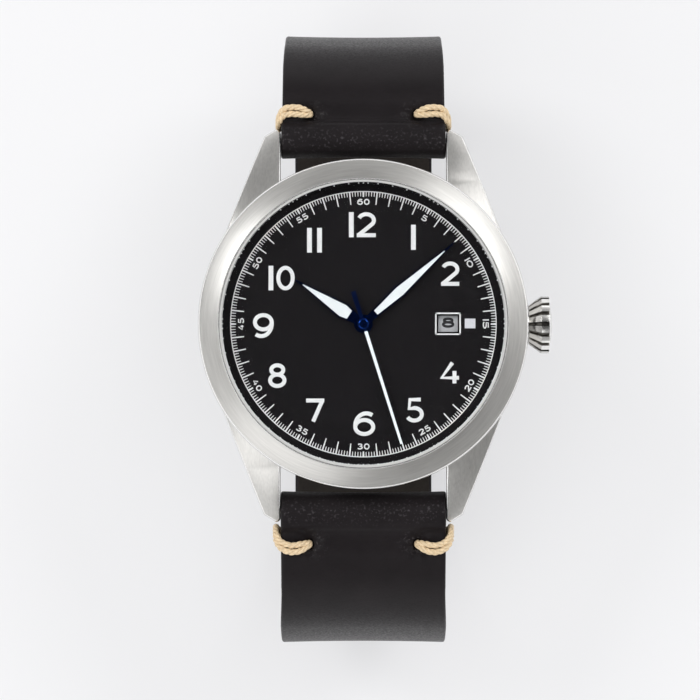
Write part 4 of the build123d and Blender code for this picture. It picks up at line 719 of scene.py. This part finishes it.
def hide_half(name, rows, side, full, spread, swell, groove, holes, tip=0.0):
    """One strap half as a closed sheet: a rounded section of the hide carried along its grain face."""
    across, corner = 46, 5
    lengths = [0.0]
    for one, two in zip(rows, rows[1:]):
        lengths.append(lengths[-1] + math.hypot(two[0] - one[0], two[1] - one[1]))
    mesh = bmesh.new()
    pulled = mesh.verts.layers.float.new("pull")
    rings = []
    for (y, z, heading, thick), length in zip(rows, lengths):
        half = strap_width(y, z, full, spread, swell) / 2
        left = lengths[-1] - length
        if tip and left < tip:
            tip_r = (half ** 2 + tip ** 2) / (2 * tip)
            half = max(TIP_FLAT, math.sqrt(max(0, 2 * tip_r * left - left ** 2)))
        r = min(EDGE_R, thick * EDGE_SHARE)
        flat = half - r
        section = ([(-flat + 2 * flat * i / across, 0) for i in range(across + 1)]
                   + bow(flat, r, r, r, -90, 0, corner)[1:] + bow(flat, thick - r, r, r, 0, 90, corner)
                   + [(flat - 2 * flat * i / across, thick) for i in range(1, across + 1)]
                   + bow(-flat, thick - r, r, r, 90, 180, corner)[1:]
                   + bow(-flat, r, r, r, 180, 270, corner)[:-1])
        inward = (math.sin(math.radians(heading)), -math.cos(math.radians(heading)))
        ring = []
        for x, depth in section:
            depth += HOLLOW * (1 - (x / max(half, 1)) ** 2) + sunk(x, y, z, groove, holes)
            vert = mesh.verts.new((x * MM, side * (y + inward[0] * depth) * MM, (z + inward[1] * depth) * MM))
            vert[pulled] = tension(x, y, z, holes)
            ring.append(vert)
        rings.append(ring)
    inside = range(across + corner * 2 + 1, across * 2 + corner * 2 + 1)
    for one, two in zip(rings, rings[1:]):
        for i in range(len(one)):
            j = (i + 1) % len(one)
            mesh.faces.new((one[i], one[j], two[j], two[i])).material_index = 1 if i in inside else 0
    for ring in (rings[0], rings[-1]):
        mesh.faces.new(ring)
    bmesh.ops.remove_doubles(mesh, verts=mesh.verts, dist=1e-7)
    piece = made(name, mesh, black_hide, "watch")
    piece.data.materials.append(flesh)
    bpy.ops.object.shade_smooth_by_angle(angle=math.radians(50))
    return piece


def pierced(piece, cutters):
    """Cuts holes with the given solids, which are used up."""
    for cutter in cutters:
        cut = piece.modifiers.new("hole", "BOOLEAN")
        cut.operation = "DIFFERENCE"
        cut.solver = "EXACT"
        cut.object = cutter
        bpy.ops.object.select_all(action="DESELECT")
        piece.select_set(True)
        bpy.context.view_layer.objects.active = piece
        bpy.ops.object.modifier_apply(modifier=cut.name)
        bpy.data.objects.remove(cutter, do_unlink=True)


def shaped(x, y, z, wide, deep, high):
    """Brings the primitive just added to its size and place, in its mesh."""
    tool = bpy.context.object
    tool.data.transform(Matrix.Diagonal((wide, deep, high, 1)))
    tool.data.transform(Matrix.Translation((x * MM, y * MM, z * MM)))
    return tool


def punch(x, y, z, radius, depth, stretch=1.0):
    """An upright round punch, stretched along Y by a factor."""
    bpy.ops.object.select_all(action="DESELECT")
    bpy.ops.mesh.primitive_cylinder_add(vertices=32, radius=radius * MM, depth=depth * MM)
    return shaped(x, y, z, 1, stretch, 1)


def block(x, y, z, wide, deep, high):
    """A box-shaped punch."""
    bpy.ops.object.select_all(action="DESELECT")
    bpy.ops.mesh.primitive_cube_add(size=1)
    return shaped(x, y, z, wide * MM, deep * MM, high * MM)


PUNCH_L, STITCH_HOLE_R, STITCH_HOLE_Z, STITCH_STRETCH = 3.4, 0.6, 48.2, 1.25


def stitch_holes(side, holes):
    """A punch for each of the two stitch holes of a strap half."""
    return [punch(across * holes[0], side * holes[1], STITCH_HOLE_Z, STITCH_HOLE_R, PUNCH_L, STITCH_STRETCH)
            for across in (-1, 1)]


SHORT_W, SHORT_SPREAD, SHORT_SWELL, SHORT_GROOVE, SHORT_PRESS = 19.8, -0.3, 0.2, 0.9, 0.85
SHORT_UP, SHORT_LOW = 13.35, 20.15
PIN_Y, PIN_R, PIN_TURN = -5.0, 0.65, 193.7
PARED, PARE_L, BACK_L, BACK_END = 1.3, 4, 8.5, 0.25
TANG_SLOT = (0, -6.95, 5.65, 2.3, 7.0, 6.0)
short = upper_part(SHORT_UP, SHORT_LOW, SHORT_PRESS)
short.run(short.rows[-1][0] - PIN_Y - PARE_L, 12)
short.run(PARE_L, 6, PARED)
short.bend(PIN_R + PARED, PIN_TURN, 20, PARED)
short.run(BACK_L, 8, BACK_END)
short_half = hide_half("strap_short_half", short.rows, 1, SHORT_W, SHORT_SPREAD, SHORT_SWELL, SHORT_GROOVE,
                       HOLES_12)
pierced(short_half, [*stitch_holes(1, HOLES_12), block(*TANG_SLOT)])
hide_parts("strap_short")

LONG_W, LONG_SPREAD, LONG_SWELL, LONG_GROOVE, LONG_PRESS = 20.1, 0.4, 0.05, 0.55, 0.94
LONG_UP, LONG_LOW = 15.70, 20.69
TAIL_TURN, TAIL_GAP, FLAT_END, TIP_L = 35, 0.2, -16.22, 5.0
TANG_HOLE_R, TANG_HOLE_Z, WORN_HOLE, WORN_STRETCH, FREE_HOLES = 0.95, 2.6, -11.2, 2.0, (-4.2, 2.8, 9.8)
long = upper_part(LONG_UP, LONG_LOW, LONG_PRESS)
long.run(long.rows[-1][0] - FLAT_END, 46)
long.bend(SHORT_LOW + TAIL_GAP + HIDE, TAIL_TURN, 40)
long_half = hide_half("strap_long_half", long.rows, -1, LONG_W, LONG_SPREAD, LONG_SWELL, LONG_GROOVE, HOLES_6,
                      tip=TIP_L)
pierced(long_half, [*stitch_holes(-1, HOLES_6),
                    punch(0, WORN_HOLE, TANG_HOLE_Z, TANG_HOLE_R, PUNCH_L, WORN_STRETCH),
                    *[punch(0, y, TANG_HOLE_Z, TANG_HOLE_R, PUNCH_L) for y in FREE_HOLES]])
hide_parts("strap_long")

# Buckle and keepers. A satin steel frame with a polished pin and tang, held in the fold of the short
# half, and two loops of the same hide: one fixed beside the buckle, one that slides along the strap.
buckle_steel = brushed("buckle_satin", CASE_STEEL, 0.3, stretch=(0.3, 6, 6))
buckle = softened("buckle_frame", "buckle_loop", buckle_steel, "watch", edge=0.22)
tang = softened("buckle_tang", "buckle_tongue", polished, "tang", edge=0.12)
dress("buckle_pin", polished)
keeper_hide = leather("keeper_hide", (0.0075, 0.0062, 0.0064))
fixed = softened("fixed_keeper", "keeper_by_buckle", keeper_hide, "watch", edge=0.3)
sliding = softened("free_keeper", "keeper_sliding", keeper_hide, "sliding_keeper", edge=0.3)

# Stitches. Waxed linen cord of three laid plies, passed twice through one hole at each edge and round
# the strap's side, where the two turns lie side by side. Cream, its tone varying at random from pale to
# brown.
thread = finish("waxed_thread", (0.72, 0.56, 0.36), rough=0.42, grain=3000, bump=0.8, vary=0.38)
CORD_R, PLY_R, PLIES, LAY, CORD_STEPS = 0.40, 0.215, 3, 2.3, 11
STITCH_TOP, STITCH_LOW = 48.9, 43.6


def smooth_path(points, steps):
    """A rounded line through chosen points, with as many places between each two."""
    line = []
    for i in range(len(points) - 1):
        p0, p1 = points[max(0, i - 1)], points[i]
        p2, p3 = points[i + 1], points[min(len(points) - 1, i + 2)]
        for j in range(steps):
            t = j / steps
            line.append((p1 * 2 + (p2 - p0) * t + (p0 * 2 - p1 * 5 + p2 * 4 - p3) * t * t
                         + (p1 * 3 - p0 - p2 * 3 + p3) * t ** 3) / 2)
    return line + [points[-1]]


def laid_cord(curve, path, twist):
    """The plies wound about a path as splines of one curve."""
    along = 0.0
    side = Vector((0, 0, 1))
    places = []
    for i, place in enumerate(path):
        ahead = (path[min(len(path) - 1, i + 1)] - path[max(0, i - 1)]).normalized()
        side = (side - ahead * side.dot(ahead)).normalized()
        if i:
            along += (place - path[i - 1]).length
        places.append((place, side.copy(), ahead.cross(side), along))
    for ply in range(PLIES):
        spline = curve.splines.new("POLY")
        spline.points.add(len(places) - 1)
        for point, (place, side, over, along) in zip(spline.points, places):
            turn = math.tau * (twist * along / LAY + ply / PLIES)
            spot = place + (side * math.cos(turn) + over * math.sin(turn)) * (CORD_R - PLY_R)
            point.co = (*(spot * MM), 1)


def stitches(name, node, side, hole, edge_y, rise, out):
    """The pair of double stitches at one end of the head, as one mesh."""
    hole_x, hole_y = hole
    curve = round_pen(name, PLY_R * 2)
    for across in (-1, 1):
        for shift in (CORD_R, -CORD_R):
            route = [
                (hole_x, hole_y, 46.9),
                (hole_x + 0.1, hole_y + shift * 0.4, 48.3),
                (7.7, hole_y + rise * 0.7 + shift, STITCH_TOP + 0.1),
                (8.8, hole_y + rise + shift, STITCH_TOP),
                (9.75 + out * 0.6, hole_y + rise * 0.3 + shift, STITCH_TOP - 0.35),
                (10.3 + out, hole_y - 0.7 + shift * 0.8, 48.0 - shift * 0.2),
                (10.4 + out, edge_y + shift * 0.6, 46.4 - shift * 0.4),
                (10.3 + out, edge_y + shift * 0.7, 44.6),
                (9.7, hole_y - 0.6 + shift * 0.8, STITCH_LOW),
                (8.2, hole_y + shift * 0.6, STITCH_LOW - 0.1),
                (hole_x, hole_y, 44.6)]
            path = smooth_path([Vector((across * x, side * y, z)) for x, y, z in route], CORD_STEPS)
            laid_cord(curve, path, across)
    piece = drawn(name, curve, thread)
    bpy.ops.object.shade_smooth_by_angle(angle=math.radians(60))
    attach(piece, "watch")
    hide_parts(node)


stitches("cords_at_12", "stitches_12", 1, HOLES_12, 24.6, 0.3, 0)
stitches("cords_at_6", "stitches_6", -1, HOLES_6, 25.0, 0.55, 0.3)

# Floor and light. A white sheet under the watch, shown a little paler than it is lit, in a bright room
# that is dark straight overhead. A soft lamp stands above, and four panels make the bezel's bright fans.
FLOOR_SIDE, FLOOR_DOWN = 6, 0.05 * MM
bpy.ops.mesh.primitive_plane_add(size=FLOOR_SIDE, location=(0, 0, -FLOOR_DOWN))
floor = bpy.context.object
floor.name = "floor"
sheet = blank("floor_white")
feed(sheet, {"Base Color": (0.85, 0.85, 0.862, 1), "Roughness": 0.9})
lift = reckon(sheet, "MULTIPLY", wired(sheet, "LightPath", out="Is Camera Ray"), 0.5)
glow = wired(sheet, "Emission", {"Color": (0.93, 0.93, 0.945, 1)})
lit = sheet.node_tree.nodes["Principled BSDF"].outputs["BSDF"]
feed(sheet, {"Surface": wired(sheet, "MixShader", {"Fac": lift, 1: lit, 2: glow})}, "Material Output")
floor.data.materials.append(sheet)

world = bpy.context.scene.world or bpy.data.worlds.new("studio")
bpy.context.scene.world = world
world.use_nodes = True
way = wired(world, "TexCoord", out="Generated")
height = wired(world, "SeparateXYZ", {"Vector": way}, out="Z")
toward = wired(world, "VectorMath", {0: way, 1: (0.5, -0.866, 0)}, out="Value", operation="DOT_PRODUCT")
room = ramp(world, height, 0.80, 0.97, 0.66, 0.05, "SMOOTHSTEP")
dim = ramp(world, reckon(world, "ABSOLUTE", toward), 0.3, 0.65, 1.0, 0.5, "SMOOTHSTEP")
walls = ramp(world, height, 0.05, 0.40, 1.3, 0.0, "SMOOTHSTEP")
light = reckon(world, "ADD", reckon(world, "MULTIPLY", room, dim), walls)
seen = wired(world, "LightPath", out="Is Camera Ray")
feed(world, {"Strength": reckon(world, "MAXIMUM", light, seen), "Color": (1, 1, 1, 1)}, "Background")


AIM_Z = 45 * MM


def panel(name, azimuth, zenith, distance, size, level, mirrored=True):
    """A square soft light of a given brightness, aimed at the dial; azimuth clockwise from 12 o'clock."""
    bpy.ops.object.light_add(type="AREA")
    lamp = bpy.context.object
    lamp.name = name
    lamp.data.shape = "SQUARE"
    lamp.data.size = size
    lamp.data.energy = level * math.pi * size * size
    lamp.visible_glossy = mirrored
    lamp.visible_transmission = mirrored
    a, z = math.radians(azimuth), math.radians(zenith)
    spot = Vector((math.sin(a) * math.sin(z), math.cos(a) * math.sin(z), math.cos(z))) * distance
    lamp.location = spot + Vector((0, 0, AIM_Z))
    lamp.rotation_euler = (-spot).to_track_quat("-Z", "Y").to_euler()


panel("overhead", 0, 0, 1.4, 0.8, 3.0, mirrored=False)
panel("right_fan", 56, 35, 1.1, 0.28, 6.5)
panel("lug_fan", 36, 46, 1.1, 0.34, 2.4)
panel("left_fan", -58, 33, 1.1, 0.30, 9.0)
panel("low_fan", 213, 40, 1.1, 0.70, 1.15)
